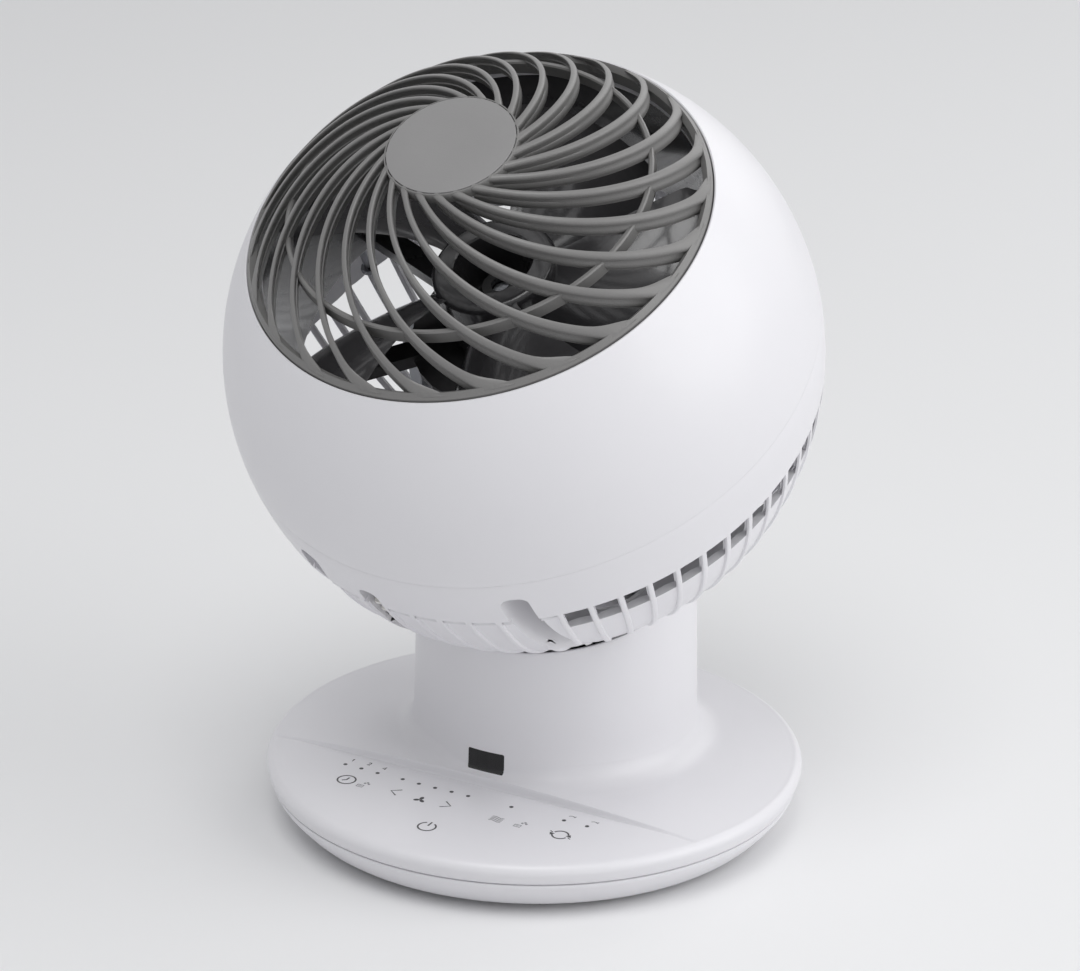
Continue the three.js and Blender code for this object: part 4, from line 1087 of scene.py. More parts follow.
@dataclass
class FanBlades:
    """Five broad swept blades on a round hub."""

    axes: HeadAxes
    blades: int = 5
    tip: float = 75.8
    hub: float = 22.0
    middle: float = 35.0
    root_chord: float = 30.0
    tip_chord: float = 62.0
    root_pitch: float = 40.0
    tip_pitch: float = 24.0
    thickness: float = 2.0
    floor: float = 21.7
    hub_top: float = 45.7

    def section(self, radius: float) -> list[Point]:
        """Cross-section of a blade at a radius.

        Args:
            radius: distance from the shaft.

        Returns:
            The points of the cross-section.
        """
        share = (radius - self.hub) / (self.tip - self.hub)
        spread = math.sin(math.pi / 2 * min(max(share, 0.0), 1.0))
        chord = self.root_chord + (self.tip_chord - self.root_chord) * spread
        rounded = 1.0 - 0.16 * blend(0.86, 1.0, share) ** 2
        pitch = math.radians(self.root_pitch + (self.tip_pitch - self.root_pitch) * share)
        outline = []
        steps = 14
        for side in (1, -1):
            for i in range(steps):
                along = (-0.5 + i / steps) * side
                full = math.sqrt(max(1.0 - (2 * along) ** 2, 0.0)) ** 0.6
                outline.append((along * rounded, side * full))
        points = []
        for along, side in outline:
            s = along * chord
            n = 0.07 * chord * (1 - (2 * along) ** 2) + side * self.thickness / 2 * 0.95
            around = s * math.cos(pitch) - n * math.sin(pitch)
            angle = around / radius + 0.35 * share
            points.append((radius * math.cos(angle), radius * math.sin(angle),
                           self.middle + s * math.sin(pitch) + n * math.cos(pitch)))
        return points

    def build(self, finishes: Finishes) -> None:
        """Builds the blades and their hub in one piece.

        Args:
            finishes: all finishes.
        """
        form = Form("blade_wheel", self.axes.matrix())
        count = 22
        first = self.hub - 1.5
        for blade in range(self.blades):
            turn = 2 * math.pi * blade / self.blades
            cos, sin = math.cos(turn), math.sin(turn)
            sections = []
            for i in range(count + 1):
                radius = first + (self.tip - first) * i / count
                sections.append([(x * cos - y * sin, x * sin + y * cos, z)
                                 for x, y, z in self.section(radius)])
            form.loft(sections)
        hub, floor, top = self.hub, self.floor, self.hub_top
        form.lathe([
            (3.3, floor + 2), (hub - 2, floor + 2), (hub - 2, floor), (hub, floor), (hub, top - 3.0),
            *arc(3.0, 90, 0, 8, (hub - 3.0, top - 3.0)), (14.6, top), (14.0, top - 0.6),
            (14.0, floor + 4), (3.3, floor + 4),
        ], 96)
        dress(form.build(30.0), finishes.blade, Body.ROTOR, "fan_blades")


# ---------------------------------------------------------------- base


@dataclass
class BasePlan:
    """Where the base, the neck and the key panel stand, and how high their surface lies."""

    base_y: float = 8.95
    neck_y: float = 24.55
    ball: Vector = field(default_factory=lambda: Vector((0.0, -1.45, 178.2)))
    crown: float = 27.0
    shoulder: float = 22.6
    shoulder_radius: float = 93.9
    panel_back: float = 38.8
    panel_low: float = 22.85
    panel_high: float = 23.3
    riser: float = 0.4
    channel: float = 0.4
    front_room: float = 1.15
    neck_radius: float = 52.1
    neck_foot: float = 23.1
    draft: float = 1.3
    fillet: float = 8.2
    rim_reach: float = 106.1

    def dome(self, x: float, y: float) -> float:
        """Height of the plain dome."""
        radius = math.hypot(x, y - self.base_y)
        return self.crown - (self.crown - self.shoulder) * (radius / self.shoulder_radius) ** 2

    def panel(self, y: float) -> float:
        """Height of the key panel's plane.

        Args:
            y: how far back the point is.

        Returns:
            The height in millimetres.
        """
        forward = self.base_y - y
        share = (self.shoulder_radius - forward) / (self.shoulder_radius - self.panel_back)
        return self.panel_low + (self.panel_high - self.panel_low) * share

    def crossing(self, turn: float) -> float:
        """Distance from the neck's axis to the panel's rear edge, in one direction."""
        ahead = -math.sin(turn)
        return (self.neck_y - self.base_y + self.panel_back) / ahead if ahead > 1e-3 else 1e4

    def fillet_at(self, turn: float) -> float:
        """Radius of the fillet at the neck's foot, smaller in front where the panel leaves it less room."""
        room = (self.crossing(turn) - self.neck_radius) * self.front_room
        return (self.fillet ** -4 + room ** -4) ** -0.25

    def top(self, x: float, y: float) -> float:
        """Height of the upper surface outside the neck: dome and fillet, cut by the key panel.

        Args:
            x: how far right the point is.
            y: how far back it is.

        Returns:
            The height in millimetres.
        """
        turn = math.atan2(y - self.neck_y, x)
        beyond = math.hypot(x, y - self.neck_y) - self.neck_radius
        raised, panel = self.dome(x, y) + self.foot(beyond, self.fillet_at(turn)), self.panel(y)
        soft = 0.12
        gap = (raised - panel) / soft
        lower = raised - soft * (math.log1p(math.exp(gap)) if gap < 30 else gap)
        line = self.base_y - self.panel_back
        lower -= self.channel * math.exp(-((line - self.riser - 0.5 - y) / 0.6) ** 2)
        ahead = 1.0 - blend(line - self.riser, line + self.riser, y)
        return raised + (lower - raised) * ahead

    def foot(self, beyond: float, radius: float) -> float:
        """Rise of a fillet of a radius at the neck's foot, by distance outside the neck.

        Args:
            beyond: distance outside the neck.
            radius: the fillet's radius.

        Returns:
            The rise in millimetres.
        """
        if beyond >= radius:
            return 0.0
        return radius - math.sqrt(max(radius ** 2 - (radius - max(beyond, 0.0)) ** 2, 0.0))

    def neck_at(self, height: float) -> float:
        """Radius of the neck at a height."""
        return self.neck_radius - math.tan(math.radians(self.draft)) * (height - self.neck_foot)

    def rim(self, turn: float, inset: float) -> Point:
        """Point on the neck's rim, which is cut concentric with the ball.

        Args:
            turn: turn round the neck, in radians.
            inset: distance inside the neck's outside.

        Returns:
            The point.
        """
        height = 90.0
        for _ in range(6):
            radius = self.neck_at(height) - inset
            x, y = radius * math.cos(turn), self.neck_y + radius * math.sin(turn)
            height = self.ball.z - math.sqrt(self.rim_reach ** 2 - x * x - (y - self.ball.y) ** 2)
        return x, y, height

    def out_to(self, turn: float, radius: float) -> float:
        """Distance from the neck's axis to a circle round the base's axis.

        Args:
            turn: direction from the neck's axis.
            radius: the circle's radius.

        Returns:
            The distance in millimetres.
        """
        offset = self.neck_y - self.base_y
        along = offset * math.sin(turn)
        return -along + math.sqrt(along * along - (offset * offset - radius * radius))


@dataclass
class BaseTop:
    """Dome, key panel and neck in one moulding."""

    plan: BasePlan
    columns: int = 480
    edge: float = 94.45
    edge_height: float = 19.6
    edge_round: float = 3.0
    wall: float = 2.3
    neck_wall: float = 2.6
    side: tuple[Spot, ...] = (
        (97.4, 19.0), (97.15, 18.0), (96.85, 17.0), (96.5, 16.1), (96.25, 15.5), (95.9, 15.15),
        (95.4, 15.05), (93.1, 15.05))

    def outside(self, turn: float) -> list[Point]:
        """Points of the outside from the neck's rim to the seam, in one direction.

        Args:
            turn: turn round the neck, in radians.

        Returns:
            The points, from the inside of the rim outwards and down.
        """
        plan = self.plan
        cos, sin = math.cos(turn), math.sin(turn)
        points = []
        for inset, drop in ((2.6, 0.7), (2.3, 0.15), (1.9, 0.0), (0.7, 0.0), (0.3, 0.18), (0.06, 0.6)):
            x, y, z = plan.rim(turn, inset)
            points.append((x, y, z - drop))
        start = plan.rim(turn, 0.0)[2] - 1.2
        foot_x, foot_y = plan.neck_radius * cos, plan.neck_y + plan.neck_radius * sin
        fillet = plan.fillet_at(turn)
        end = plan.dome(foot_x, foot_y) + fillet
        for i in range(9):
            z = start + (end - start) * i / 8
            radius = plan.neck_at(z)
            points.append((radius * cos, plan.neck_y + radius * sin, z))
        inner = plan.neck_radius
        shoulder = plan.out_to(turn, self.edge)
        crossing = min(plan.crossing(turn), 400.0)
        bends = [fillet * (1 - math.cos(math.radians(a))) for a in (5, 9, 15, 22, 30, 40, 52, 66, 82)]
        spots = [inner + b for b in bends]
        spots += [inner + fillet + (shoulder - inner - fillet) * (i + 1) / 23 for i in range(22)]
        for step in (-1.6, -0.9, -0.42, -0.25, -0.1, 0.1, 0.25, 0.42, 0.7, 0.95, 1.25, 1.6, 2.1):
            spots.append(min(max(crossing + step / max(-sin, 0.05), inner + 0.05), shoulder - 0.05))
        for reach in sorted(spots):
            x, y = reach * cos, plan.neck_y + reach * sin
            points.append((x, y, plan.top(x, y)))
        for angle in range(6, 91, 12):
            circle = self.edge + self.edge_round * math.sin(math.radians(angle))
            reach = plan.out_to(turn, circle)
            z = self.edge_height + self.edge_round * math.cos(math.radians(angle))
            points.append((reach * cos, plan.neck_y + reach * sin, z))
        for circle, z in self.side:
            reach = plan.out_to(turn, circle)
            points.append((reach * cos, plan.neck_y + reach * sin, z))
        return points

    def inside(self, turn: float) -> list[Point]:
        """Points of the inside, from the seam back up to the neck's rim.

        Args:
            turn: direction from the neck's axis.

        Returns:
            The points, from the seam up.
        """
        plan = self.plan
        cos, sin = math.cos(turn), math.sin(turn)
        points = []
        under = 19.4
        neck = plan.neck_radius - self.neck_wall
        for circle, z in ((93.1, 18.6), (92.4, under)):
            reach = plan.out_to(turn, circle)
            points.append((reach * cos, plan.neck_y + reach * sin, z))
        points.append((neck * cos, plan.neck_y + neck * sin, under + 1.2))
        top = plan.rim(turn, self.neck_wall)[2]
        for i in range(1, 5):
            z = under + 1.2 + (top - 2.0 - under - 1.2) * i / 4
            radius = plan.neck_at(z) - self.neck_wall
            points.append((radius * cos, plan.neck_y + radius * sin, z))
        return points

    def build(self, finishes: Finishes) -> None:
        """Builds the moulding.

        Args:
            finishes: all finishes.
        """
        form = Form("base_and_neck")
        turns = [2 * math.pi * i / self.columns for i in range(self.columns)]
        profiles = [self.outside(turn) + self.inside(turn) for turn in turns]
        rows = [form.ring(profile[i] for profile in profiles) for i in range(len(profiles[0]))]
        form.skin(rows, along=True)
        dress(form.build(38.0), finishes.shell, Body.BASE, "base_top")


@dataclass
class RemoteWindow:
    """Smoked window for the remote control, flush in the front of the neck."""

    plan: BasePlan
    left: float = -7.0
    right: float = 7.6
    bottom: float = 27.6
    top: float = 35.4
    corner: float = 0.7
    proud: float = 0.16
    depth: float = 1.2

    def spot(self, x: float, z: float, proud: float) -> Point:
        """Point over the neck's front at a width and height.

        Args:
            x: how far right the point is.
            z: its height.
            proud: how far it stands out of the neck.

        Returns:
            The point.
        """
        plan = self.plan
        inner = plan.neck_at(z)
        y = plan.neck_y - math.sqrt(inner ** 2 - x * x)
        fillet = plan.fillet_at(math.atan2(y - plan.neck_y, x))
        rise = z - plan.dome(x, y)
        beyond = 0.0
        if rise < fillet:
            beyond = fillet - math.sqrt(max(fillet ** 2 - (fillet - rise) ** 2, 0.0))
        radius = inner + beyond + proud
        return x, plan.neck_y - math.sqrt(radius ** 2 - x * x), z

    def build(self, finishes: Finishes) -> None:
        """Builds the window.

        Args:
            finishes: all finishes.
        """
        form = Form("remote_window")
        rows = []
        for inset, proud in ((0.0, -self.depth), (0.0, 0.02), (0.12, self.proud), (0.5, self.proud)):
            path = self.outline(inset)
            rows.append(form.ring(self.spot(x, z, proud) for x, z in path))
        form.skin(rows)
        form.cap(rows[0])
        for share in (0.75, 0.5, 0.25):
            nearer = [self.toward(x, z, share) for x, z in self.outline(0.5)]
            rows.append(form.ring(self.spot(x, z, self.proud) for x, z in nearer))
        form.skin(rows[3:])
        form.cap(rows[-1])
        dress(form.build(), finishes.window, Body.BASE, "ir_window")

    def toward(self, x: float, z: float, share: float) -> Spot:
        """Point between the middle of the window and its edge."""
        mx, mz = (self.left + self.right) / 2, (self.bottom + self.top) / 2
        return mx + (x - mx) * share, mz + (z - mz) * share

    def outline(self, inset: float) -> list[Spot]:
        """Rounded outline of the window.

        Args:
            inset: distance inside its edge.

        Returns:
            Width and height of each point.
        """
        left, right = self.left + inset, self.right - inset
        low, high = self.bottom + inset, self.top - inset
        round_ = max(self.corner - inset, 0.1)
        points = []
        for cx, cz, start in ((right - round_, high - round_, 0), (left + round_, high - round_, 90),
                              (left + round_, low + round_, 180), (right - round_, low + round_, 270)):
            points += [round_about(round_, start + a, (cx, cz)) for a in (0, 22.5, 45, 67.5, 90)]
        filled = []
        for i, point in enumerate(points):
            after = points[(i + 1) % len(points)]
            pieces = max(1, round(math.dist(point, after) / 1.2))
            run = (after[0] - point[0], after[1] - point[1])
            filled += [(point[0] + run[0] * k / pieces, point[1] + run[1] * k / pieces)
                       for k in range(pieces)]
        return filled


@dataclass
class KeyPanel:
    """Printed marks of the touch keys: numbers, signs and the lights' small dots."""

    plan: BasePlan
    lift: float = 0.03
    thickness: float = 0.05
    shift_x: float = 2.0
    shift_y: float = -3.3
    dot: float = 0.78
    line: float = 0.62

    def place(self, x: float, y: float) -> Spot:
        """Row-frame position of a mark given ahead of the base's middle."""
        return x + self.shift_x, y + self.shift_y + self.plan.base_y

    def patch(self, form: Form, outline: Sequence[Spot]) -> None:
        """Adds a thin flat patch that follows the panel.

        Args:
            form: the marks' form.
            outline: corners of the patch, seen from above.
        """
        low = [(x, y, self.plan.top(x, y) + self.lift - self.thickness) for x, y in outline]
        high = [(x, y, self.plan.top(x, y) + self.lift) for x, y in outline]
        form.loft([low, high])

    def disc(self, form: Form, x: float, y: float, radius: float) -> None:
        """Adds a round dot."""
        self.patch(form, [round_about(radius, turn, (x, y)) for turn in range(0, 360, 18)])

    def stroke(self, form: Form, path: Sequence[Spot], width: float) -> None:
        """Adds a line of even width through points.

        Args:
            form: the marks' form.
            path: the points.
            width: width of the line.
        """
        left, right = [], []
        for i, (x, y) in enumerate(path):
            before, after = path[max(i - 1, 0)], path[min(i + 1, len(path) - 1)]
            dx, dy = after[0] - before[0], after[1] - before[1]
            size = math.hypot(dx, dy) or 1.0
            nx, ny = -dy / size * width / 2, dx / size * width / 2
            left.append((x + nx, y + ny))
            right.append((x - nx, y - ny))
        for i in range(len(path) - 1):
            self.patch(form, [left[i], left[i + 1], right[i + 1], right[i]])

    def curve(self, form: Form, x: float, y: float, radius: float, first: float, last: float,
              width: float, squash: float = 1.0) -> None:
        """Adds part of a circle or oval as a line.

        Args:
            form: the marks' form.
            x: middle of the circle.
            y: middle of the circle.
            radius: radius of the circle.
            first: first angle, in degrees.
            last: last angle, in degrees.
            width: width of the line.
            squash: height of the oval against its width.
        """
        steps = max(6, round(abs(last - first) / 10))
        self.stroke(form, [
            (x + radius * math.cos(math.radians(first + (last - first) * i / steps)),
             y + squash * radius * math.sin(math.radians(first + (last - first) * i / steps)))
            for i in range(steps + 1)], width)

    def number(self, form: Form, digit: int, x: float, y: float) -> None:
        """Adds a small figure 1, 2 or 4.

        Args:
            form: the marks' form.
            digit: the figure.
            x: its middle.
            y: its middle.
        """
        shapes = {
            1: [[(-0.35, 0.55), (0.1, 0.95), (0.1, -0.95)]],
            2: [[(-0.55, 0.5), (-0.3, 0.9), (0.2, 0.95), (0.5, 0.55), (0.35, 0.05),
                 (-0.55, -0.95), (0.6, -0.95)]],
            4: [[(0.3, -0.95), (0.3, 0.95), (-0.65, -0.35), (0.65, -0.35)]],
        }
        for path in shapes[digit]:
            self.stroke(form, [(x + px, y + py) for px, py in path], 0.42)

    def lights(self, form: Form) -> None:
        """Adds the dots over the indicator lights.

        Args:
            form: the marks' form.
        """
        for x, y in ((-52.7, -45.5), (-45.9, -45.6), (-38.9, -45.9), (-28.5, -45.7), (-21.6, -46.0),
                     (-14.9, -46.0), (-8.2, -45.8), (-1.4, -45.8), (16.2, -45.7),
                     (37.4, -45.7), (46.6, -45.7)):
            self.disc(form, *self.place(x, y), self.dot)
        for digit, x, y in ((1, -52.0, -41.2), (2, -45.2, -41.0), (4, -38.6, -41.4)):
            self.number(form, digit, *self.place(x, y))

    def keys(self, form: Form) -> None:
        """Adds the dark signs: timer, less, fan, more, power and the swing sign.

        Args:
            form: the marks' form.
        """
        x, y = self.place(-45.7, -56.0)
        self.curve(form, x, y, 3.3, 0, 360, self.line)
        self.stroke(form, [(x + 0.1, y + 1.9), (x, y), (x - 1.3, y - 1.1)], self.line)
        x, y = self.place(-25.7, -55.7)
        self.stroke(form, [(x + 1.6, y + 2.4), (x - 1.6, y), (x + 1.6, y - 2.4)], 0.5)
        x, y = self.place(-4.3, -55.8)
        self.stroke(form, [(x - 1.6, y + 2.4), (x + 1.6, y), (x - 1.6, y - 2.4)], 0.5)
        x, y = self.place(-14.7, -56.8)
        for turn in (90, 210, 330):
            cos, sin = math.cos(math.radians(turn)), math.sin(math.radians(turn))
            circle = [round_about(1.0, 360.0 * i / 14) for i in range(14)]
            oval = [(1.25 + 1.15 * along, 0.75 * across) for along, across in circle]
            self.patch(form, [(x + u * cos - v * sin, y + u * sin + v * cos) for u, v in oval])
        x, y = self.place(-1.8, -73.8)
        self.curve(form, x, y, 3.2, 118, 422, self.line)
        self.stroke(form, [(x, y + 3.7), (x, y + 0.7)], self.line)
        x, y = self.place(41.7, -56.2)
        self.curve(form, x, y, 2.9, 20, 160, self.line)
        self.curve(form, x, y, 2.9, 200, 340, self.line)
        for side in (1, -1):
            tip = (x + side * 3.4, y + side * 0.2)
            self.patch(form, [(tip[0], tip[1] + side * 1.3), (tip[0] - side * 1.3, tip[1] - side * 0.2),
                              (tip[0] + side * 0.9, tip[1] - side * 0.5)])
            self.stroke(form, [(x + side * 4.6, y - side * 1.4), (x + side * 3.3, y - side * 0.6)], 0.36)

    def pale_signs(self, form: Form) -> None:
        """Adds the paler signs beside the keys.

        Args:
            form: the marks' form.
        """
        x, y = self.place(16.4, -56.7)
        for row in (1.5, 0.5, -0.5, -1.5):
            wave = ((-2.4, 0.0), (-1.2, 0.35), (0.0, 0.0), (1.2, -0.35), (2.4, 0.0))
            self.stroke(form, [(x + along, y + row + rise) for along, rise in wave], 0.46)
        for gx, gy in ((-38.5, -56.5), (25.8, -56.2)):
            x, y = self.place(gx, gy)
            for px, py in ((0.9, 2.0), (1.7, 1.2), (0.1, 1.2)):
                self.disc(form, x + px, y + py, 0.5)
            left, right, low, high = x - 1.7, x + 0.7, y - 2.1, y - 0.5
            self.stroke(form, [(left, high), (right, high), (right, low), (left, low), (left, high)], 0.44)
            self.stroke(form, [(x - 1.2, y - 1.3), (x + 0.2, y - 1.3)], 0.3)
        for gx in (38.6, 47.6):
            x, y = self.place(gx, -42.6)
            self.curve(form, x, y - 0.3, 1.5, 35, 145, 0.42)
            self.stroke(form, [(x + 0.4, y + 1.0), (x + 1.3, y + 0.5), (x + 1.2, y + 1.5)], 0.4)

    def build(self, finishes: Finishes) -> None:
        """Builds the marks.

        Args:
            finishes: all finishes.
        """
        form = Form("key_marks")
        self.lights(form)
        self.keys(form)
        dress(form.build(), finishes.print, Body.BASE)
        pale = Form("key_marks_pale")
        self.pale_signs(pale)
        dress(pale.build(), finishes.pale_print, Body.BASE)


@dataclass
class FootShell:
    """Lower dish that stands still, with its bowed side and the flat pad at the cord inlet."""

    base_y: float = 8.95
    pad_back: float = 94.3
    pad_half: float = 7.5
    pad_low: float = 3.0
    pad_high: float = 12.2
    pad_round: float = 1.2
    side: tuple[Spot, ...] = (
        (83.6, 2.0), (84.9, 2.15), (85.7, 2.6), (86.75, 3.1), (88.0, 4.0), (89.1, 5.0), (90.0, 6.0),
        (90.95, 7.0), (91.85, 8.0), (92.75, 9.0), (93.55, 10.0), (94.3, 11.0), (94.95, 12.0),
        (95.5, 13.0), (95.8, 13.9),
        (95.7, 14.45), (95.35, 14.65))

    def build(self, finishes: Finishes) -> None:
        """Builds the dish.

        Args:
            finishes: all finishes.
        """
        form = Form("foot_dish")
        form.lathe([
            *self.side, (93.2, 14.65), (84.2, 4.4), (24.0, 4.4), (24.0, 10.0), (15.0, 10.0), (15.0, 19.9),
            (10.0, 19.9), (10.0, 2.0)], 220, (0.0, self.base_y))
        corners = []
        for cx, cz, start in ((1, 1, 0), (-1, 1, 90), (-1, -1, 180), (1, -1, 270)):
            x = cx * (self.pad_half - self.pad_round)
            z = (self.pad_high if cz > 0 else self.pad_low) - cz * self.pad_round
            corners += [(x + self.pad_round * math.cos(math.radians(start + a)),
                         z + self.pad_round * math.sin(math.radians(start + a))) for a in (0, 30, 60, 90)]
        back = self.pad_back + self.base_y
        form.loft([[(x, y, z) for x, z in corners] for y in (back - 12.0, back - 0.3)]
                  + [[(x * 0.96, back, 7.6 + (z - 7.6) * 0.95) for x, z in corners]])
        dress(form.build(36.0), finishes.shell, Body.FOOT, "foot_shell")


@dataclass
class CordGland:
    """Black inlet gland at the back of the foot, with flex rings."""

    base_y: float = 8.95
    height: float = 7.0
    inner: float = 79.6
    length: float = 17.5
    bore: float = 2.4
    radius: float = 3.6

    def build(self, finishes: Finishes) -> None:
        """Builds the gland.

        Args:
            finishes: all finishes.
        """
        turn = Matrix.Translation((0.0, self.inner + self.base_y, self.height)) @ Matrix.Rotation(
            math.radians(-90.0), 4, "X")
        form = Form("cord_inlet", turn)
        bore, radius, seat = self.bore, self.radius, 94.3 - self.inner
        form.lathe([
            (bore, 0.0), (radius, 0.0), (radius, seat + 0.1), (radius + 0.7, seat + 0.1),
            (radius + 0.7, seat + 1.3), (radius + 0.3, seat + 1.6), (radius - 0.5, seat + 1.7),
            (radius - 0.6, seat + 2.1), (radius - 0.35, seat + 2.3), (radius - 0.8, self.length - 0.2),
            (bore + 0.25, self.length), (bore, self.length - 0.25),
        ], 64)
        dress(form.build(), finishes.black, Body.FOOT, "cord_gland")


@dataclass
class RubberFeet:
    """Four round rubber feet under the dish."""

    base_y: float = 8.95
    names: tuple[str, ...] = ("rubber_foot_1", "rubber_foot_2", "rubber_foot_3", "rubber_foot_4")
    radius: float = 6.95

    def build(self, finishes: Finishes) -> None:
        """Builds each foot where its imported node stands.

        Args:
            finishes: all finishes.
        """
        for name in self.names:
            low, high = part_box(name)
            x, y = (low[0] + high[0]) / 2 / MILLIMETRE, (low[1] + high[1]) / 2 / MILLIMETRE
            form = Form(name.replace("foot", "pad"))
            top = high[2] / MILLIMETRE
            form.lathe([
                (0.0, 0.45), (3.2, 0.45), (3.6, 0.0), (self.radius - 0.5, 0.0), (self.radius - 0.1, 0.25),
                (self.radius, 0.6), (self.radius, top), (0.0, top)], 48, (x, y))
            dress(form.build(), finishes.rubber, Body.FOOT, name)


@dataclass
class LeadWires:
    """Two short leads that show in front of the rear windows."""

    axes: HeadAxes
    radius: float = 1.1
    paths: tuple[tuple[Point, ...], ...] = (
        ((-27.0, 8.0, 6.0), (-29.0, 17.0, -2.0), (-29.0, 19.0, -16.0), (-29.0, 19.0, -32.0),
         (-27.0, 14.0, -46.0), (-24.0, -4.0, -58.0), (-22.0, -24.0, -68.0)),
        ((-26.0, 11.0, 5.0), (-27.0, 21.0, -4.0), (-27.0, 23.0, -18.0), (-27.0, 23.0, -34.0),
         (-26.0, 16.0, -48.0), (-25.0, -5.0, -60.0), (-24.0, -25.0, -69.0)))

    def build(self, finishes: Finishes) -> None:
        """Builds the leads.

        Args:
            finishes: all finishes.
        """
        for i, path in enumerate(self.paths):
            form = Form(f"motor_lead_{i + 1}", self.axes.matrix())
            spots = self.smoothed([Vector(p) for p in path], 8)
            side = Vector((0.0, 0.0, 1.0))
            sections = []
            for k, spot in enumerate(spots):
                run = (spots[min(k + 1, len(spots) - 1)] - spots[max(k - 1, 0)]).normalized()
                across = run.cross(side)
                if across.length < 0.1:
                    across = run.cross(Vector((1.0, 0.0, 0.0)))
                across.normalize()
                up = across.cross(run)
                sections.append([tuple(spot + self.radius * (math.cos(a) * across + math.sin(a) * up))
                                 for a in (2 * math.pi * n / 12 for n in range(12))])
            form.loft(sections)
            dress(form.build(50.0), finishes.black, Body.HEAD)

    @staticmethod
    def smoothed(points: Sequence[Vector], steps: int) -> list[Vector]:
        """Points along a smooth curve through the given ones.

        Args:
            points: the points that the curve passes.
            steps: points between one and the next.

        Returns:
            The points of the curve.
        """
        made = []
        for i in range(len(points) - 1):
            a, b = points[max(i - 1, 0)], points[i]
            c, d = points[i + 1], points[min(i + 2, len(points) - 1)]
            for k in range(steps):
                t = k / steps
                made.append(0.5 * (2 * b + (c - a) * t + (2 * a - 5 * b + 4 * c - d) * t * t
                                   + (3 * b - a - 3 * c + d) * t ** 3))
        return [*made, points[-1]]


class Works:
    """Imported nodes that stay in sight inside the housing, each with its finish."""

    def finish_of(self, name: str, finishes: Finishes) -> tuple[bpy.types.Material, Slot]:
        """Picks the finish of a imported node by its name.

        Args:
            name: name of the node.
            finishes: all finishes.

        Returns:
            Its material and record slot.
        """
        table = {
            "ballast_ring": finishes.iron, "pan_gear": finishes.nylon, "pan_pinion": finishes.nylon,
            "tilt_wheel": finishes.nylon, "tilt_rack": finishes.nylon, "pivot_bush": finishes.brass,
            "touch_board": finishes.board, "main_board": finishes.board, "light_guide": finishes.guide,
            "stator_core": finishes.winding, "motor_bracket": finishes.duct, "blade_nut": finishes.black,
            "ir_receiver": finishes.black, "base_tray": finishes.duct, "motor_case": finishes.aluminium,
            "motor_cover": finishes.aluminium,
        }
        for start, finish in table.items():
            if name.startswith(start):
                return finish
        return finishes.steel

    def build(self, finishes: Finishes, done: set[str]) -> None:
        """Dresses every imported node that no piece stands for.

        Args:
            finishes: all finishes.
            done: nodes that other pieces stand for.
        """
        for name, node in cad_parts.items():
            if name in done:
                continue
            dress(node, self.finish_of(name, finishes), None)
            smooth(node, 30.0)


# ---------------------------------------------------------------- studio


@dataclass
class Lamp:
    """A soft lamp: where it stands, how large it is and how much it gives."""

    name: str
    place: Point
    size: float
    power: float


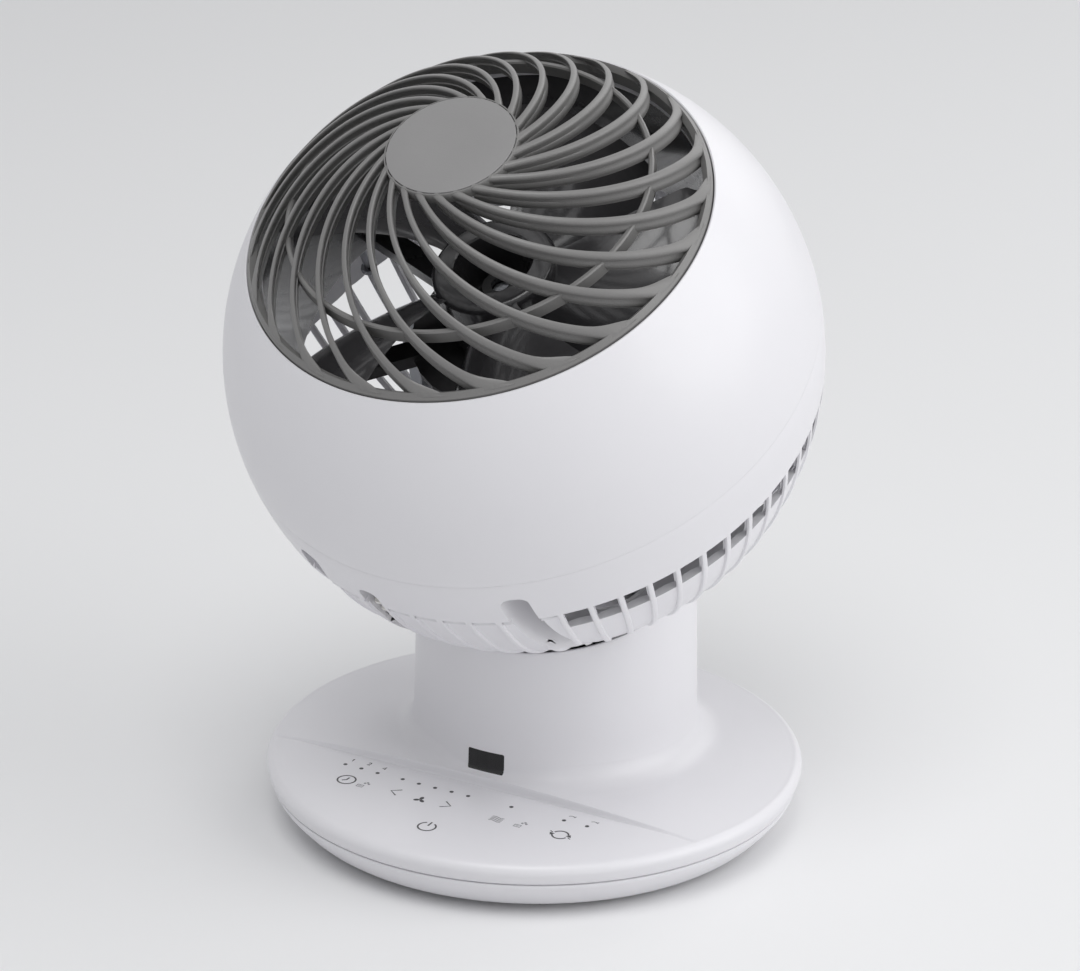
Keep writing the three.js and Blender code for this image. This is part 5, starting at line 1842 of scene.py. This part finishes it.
@dataclass
class Studio:
    """Pale floor, soft lamps and an even sky."""

    target: Point = (0.0, 0.0, 0.13)
    floor_level: int = 238
    lamps: tuple[Lamp, ...] = (
        Lamp("key_lamp", (1.8, 0.35, 0.95), 2.2, 19.5),
        Lamp("front_lamp", (0.25, -0.85, 2.0), 1.2, 14.0),
        Lamp("back_lamp", (0.3, 1.6, 1.3), 1.5, 5.0))
    floor_half: float = 9000.0
    sky: float = 0.47
    sky_shade: tuple[float, float, float, float] = (0.97, 0.98, 1.0, 1.0)
    seen_shade: tuple[float, float, float, float] = (0.86, 0.86, 0.87, 1.0)

    def build(self) -> None:
        """Builds the studio."""
        self._floor()
        for lamp in self.lamps:
            self._lamp(lamp)
        self._sky()

    def _floor(self) -> None:
        """Builds a large pale matt floor."""
        form = Form("studio_floor")
        half = self.floor_half
        form.cap(form.ring(((-half, -half, 0), (half, -half, 0), (half, half, 0), (-half, half, 0))))
        floor = form.build()
        material = bpy.data.materials.new("Studio floor")
        material.use_nodes = True
        surface = material.node_tree.nodes["Principled BSDF"]
        level = grey(self.floor_level)
        surface.inputs["Base Color"].default_value = (level, level, level * 1.005, 1.0)
        surface.inputs["Roughness"].default_value = 0.85
        surface.inputs["Specular IOR Level"].default_value = 0.1
        floor.data.materials.append(material)
        floor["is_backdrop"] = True

    def _lamp(self, lamp: Lamp) -> None:
        """Adds one soft lamp that faces the object.

        Args:
            lamp: the lamp.
        """
        data = bpy.data.lights.new(lamp.name, "AREA")
        data.shape = "DISK"
        data.size = lamp.size
        data.energy = lamp.power
        light = bpy.data.objects.new(lamp.name, data)
        aim = Vector(lamp.place) - Vector(self.target)
        light.matrix_world = Matrix.Translation(lamp.place) @ aim.to_track_quat("Z", "Y").to_matrix().to_4x4()
        bpy.context.scene.collection.objects.link(light)

    def _sky(self) -> None:
        """Adds an even pale sky that mirrors and the camera see a little brighter."""
        world = bpy.data.worlds.new("Studio sky")
        world.use_nodes = True
        tree = world.node_tree
        tree.nodes.clear()
        output = tree.nodes.new("ShaderNodeOutputWorld")
        even = tree.nodes.new("ShaderNodeBackground")
        seen = tree.nodes.new("ShaderNodeBackground")
        choice = tree.nodes.new("ShaderNodeMixShader")
        path = tree.nodes.new("ShaderNodeLightPath")
        either = tree.nodes.new("ShaderNodeMath")
        either.operation = "MAXIMUM"
        any_of = tree.nodes.new("ShaderNodeMath")
        any_of.operation = "MAXIMUM"
        even.inputs["Color"].default_value = self.sky_shade
        even.inputs["Strength"].default_value = self.sky
        seen.inputs["Color"].default_value = self.seen_shade
        tree.links.new(path.outputs["Is Camera Ray"], either.inputs[0])
        tree.links.new(path.outputs["Is Transmission Ray"], either.inputs[1])
        tree.links.new(either.outputs["Value"], any_of.inputs[0])
        tree.links.new(path.outputs["Is Glossy Ray"], any_of.inputs[1])
        tree.links.new(any_of.outputs["Value"], choice.inputs["Fac"])
        tree.links.new(even.outputs["Background"], choice.inputs[1])
        tree.links.new(seen.outputs["Background"], choice.inputs[2])
        tree.links.new(choice.outputs["Shader"], output.inputs["Surface"])
        bpy.context.scene.world = world


@dataclass
class ViewPoint:
    """Camera that looks as the photograph does."""

    place: Point = (664.28, -1187.46, 662.54)
    azimuth: float = 29.0
    elevation: float = 21.45
    roll: float = 0.65
    focal: float = 4137.0
    image_width: float = 1080.0
    sensor: float = 36.0

    def build(self) -> None:
        """Builds the camera and makes it the scene's."""
        data = bpy.data.cameras.new("view")
        data.sensor_fit = "HORIZONTAL"
        data.sensor_width = self.sensor
        data.lens = self.sensor * self.focal / self.image_width
        data.clip_start = 0.05
        data.clip_end = 40.0
        azimuth, elevation = math.radians(self.azimuth), math.radians(self.elevation)
        back = Vector((math.sin(azimuth) * math.cos(elevation), -math.cos(azimuth) * math.cos(elevation),
                       math.sin(elevation)))
        right = Vector((math.cos(azimuth), math.sin(azimuth), 0.0))
        up = back.cross(right)
        cos, sin = math.cos(math.radians(self.roll)), math.sin(math.radians(self.roll))
        turned_right = cos * right + sin * up
        turned_up = -sin * right + cos * up
        turn = Matrix((turned_right, turned_up, back)).transposed().to_4x4()
        camera = bpy.data.objects.new("view", data)
        camera.matrix_world = Matrix.Translation(Vector(self.place) * MILLIMETRE) @ turn
        bpy.context.scene.collection.objects.link(camera)
        bpy.context.scene.camera = camera


def corners(box: Sequence[Sequence[float]]) -> list[list[float]]:
    """Both corners of a box as plain lists of numbers."""
    return [[float(value) for value in corner] for corner in box]


def main() -> None:
    """Builds the circulator, piece by piece, then the studio and the camera."""
    logging.basicConfig(level=logging.INFO, format="%(name)s: %(message)s")
    bpy.context.scene.view_settings.view_transform = "Standard"
    finishes = Finishes(Effects())
    axes = HeadAxes()
    plan = BasePlan()
    ViewPoint().build()
    Studio().build()
    for part in (FrontShell(axes), RearShell(axes), FrontGrille(axes), HubDisc(axes), AirDuct(axes),
                 FanBlades(axes), LeadWires(axes), BaseTop(plan), RemoteWindow(plan), KeyPanel(plan),
                 FootShell(), CordGland(), RubberFeet()):
        part.build(finishes)
    stood_for = {"front_shell", "rear_shell", "front_grille", "hub_badge", "air_duct", "fan_blades",
                 "base_top", "ir_window", "foot_shell", "cord_gland", *RubberFeet().names}
    Works().build(finishes, stood_for)
    {"cad": corners(CAD_BOX), "visual": corners(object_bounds())}


if __name__ == "__main__":
    main()
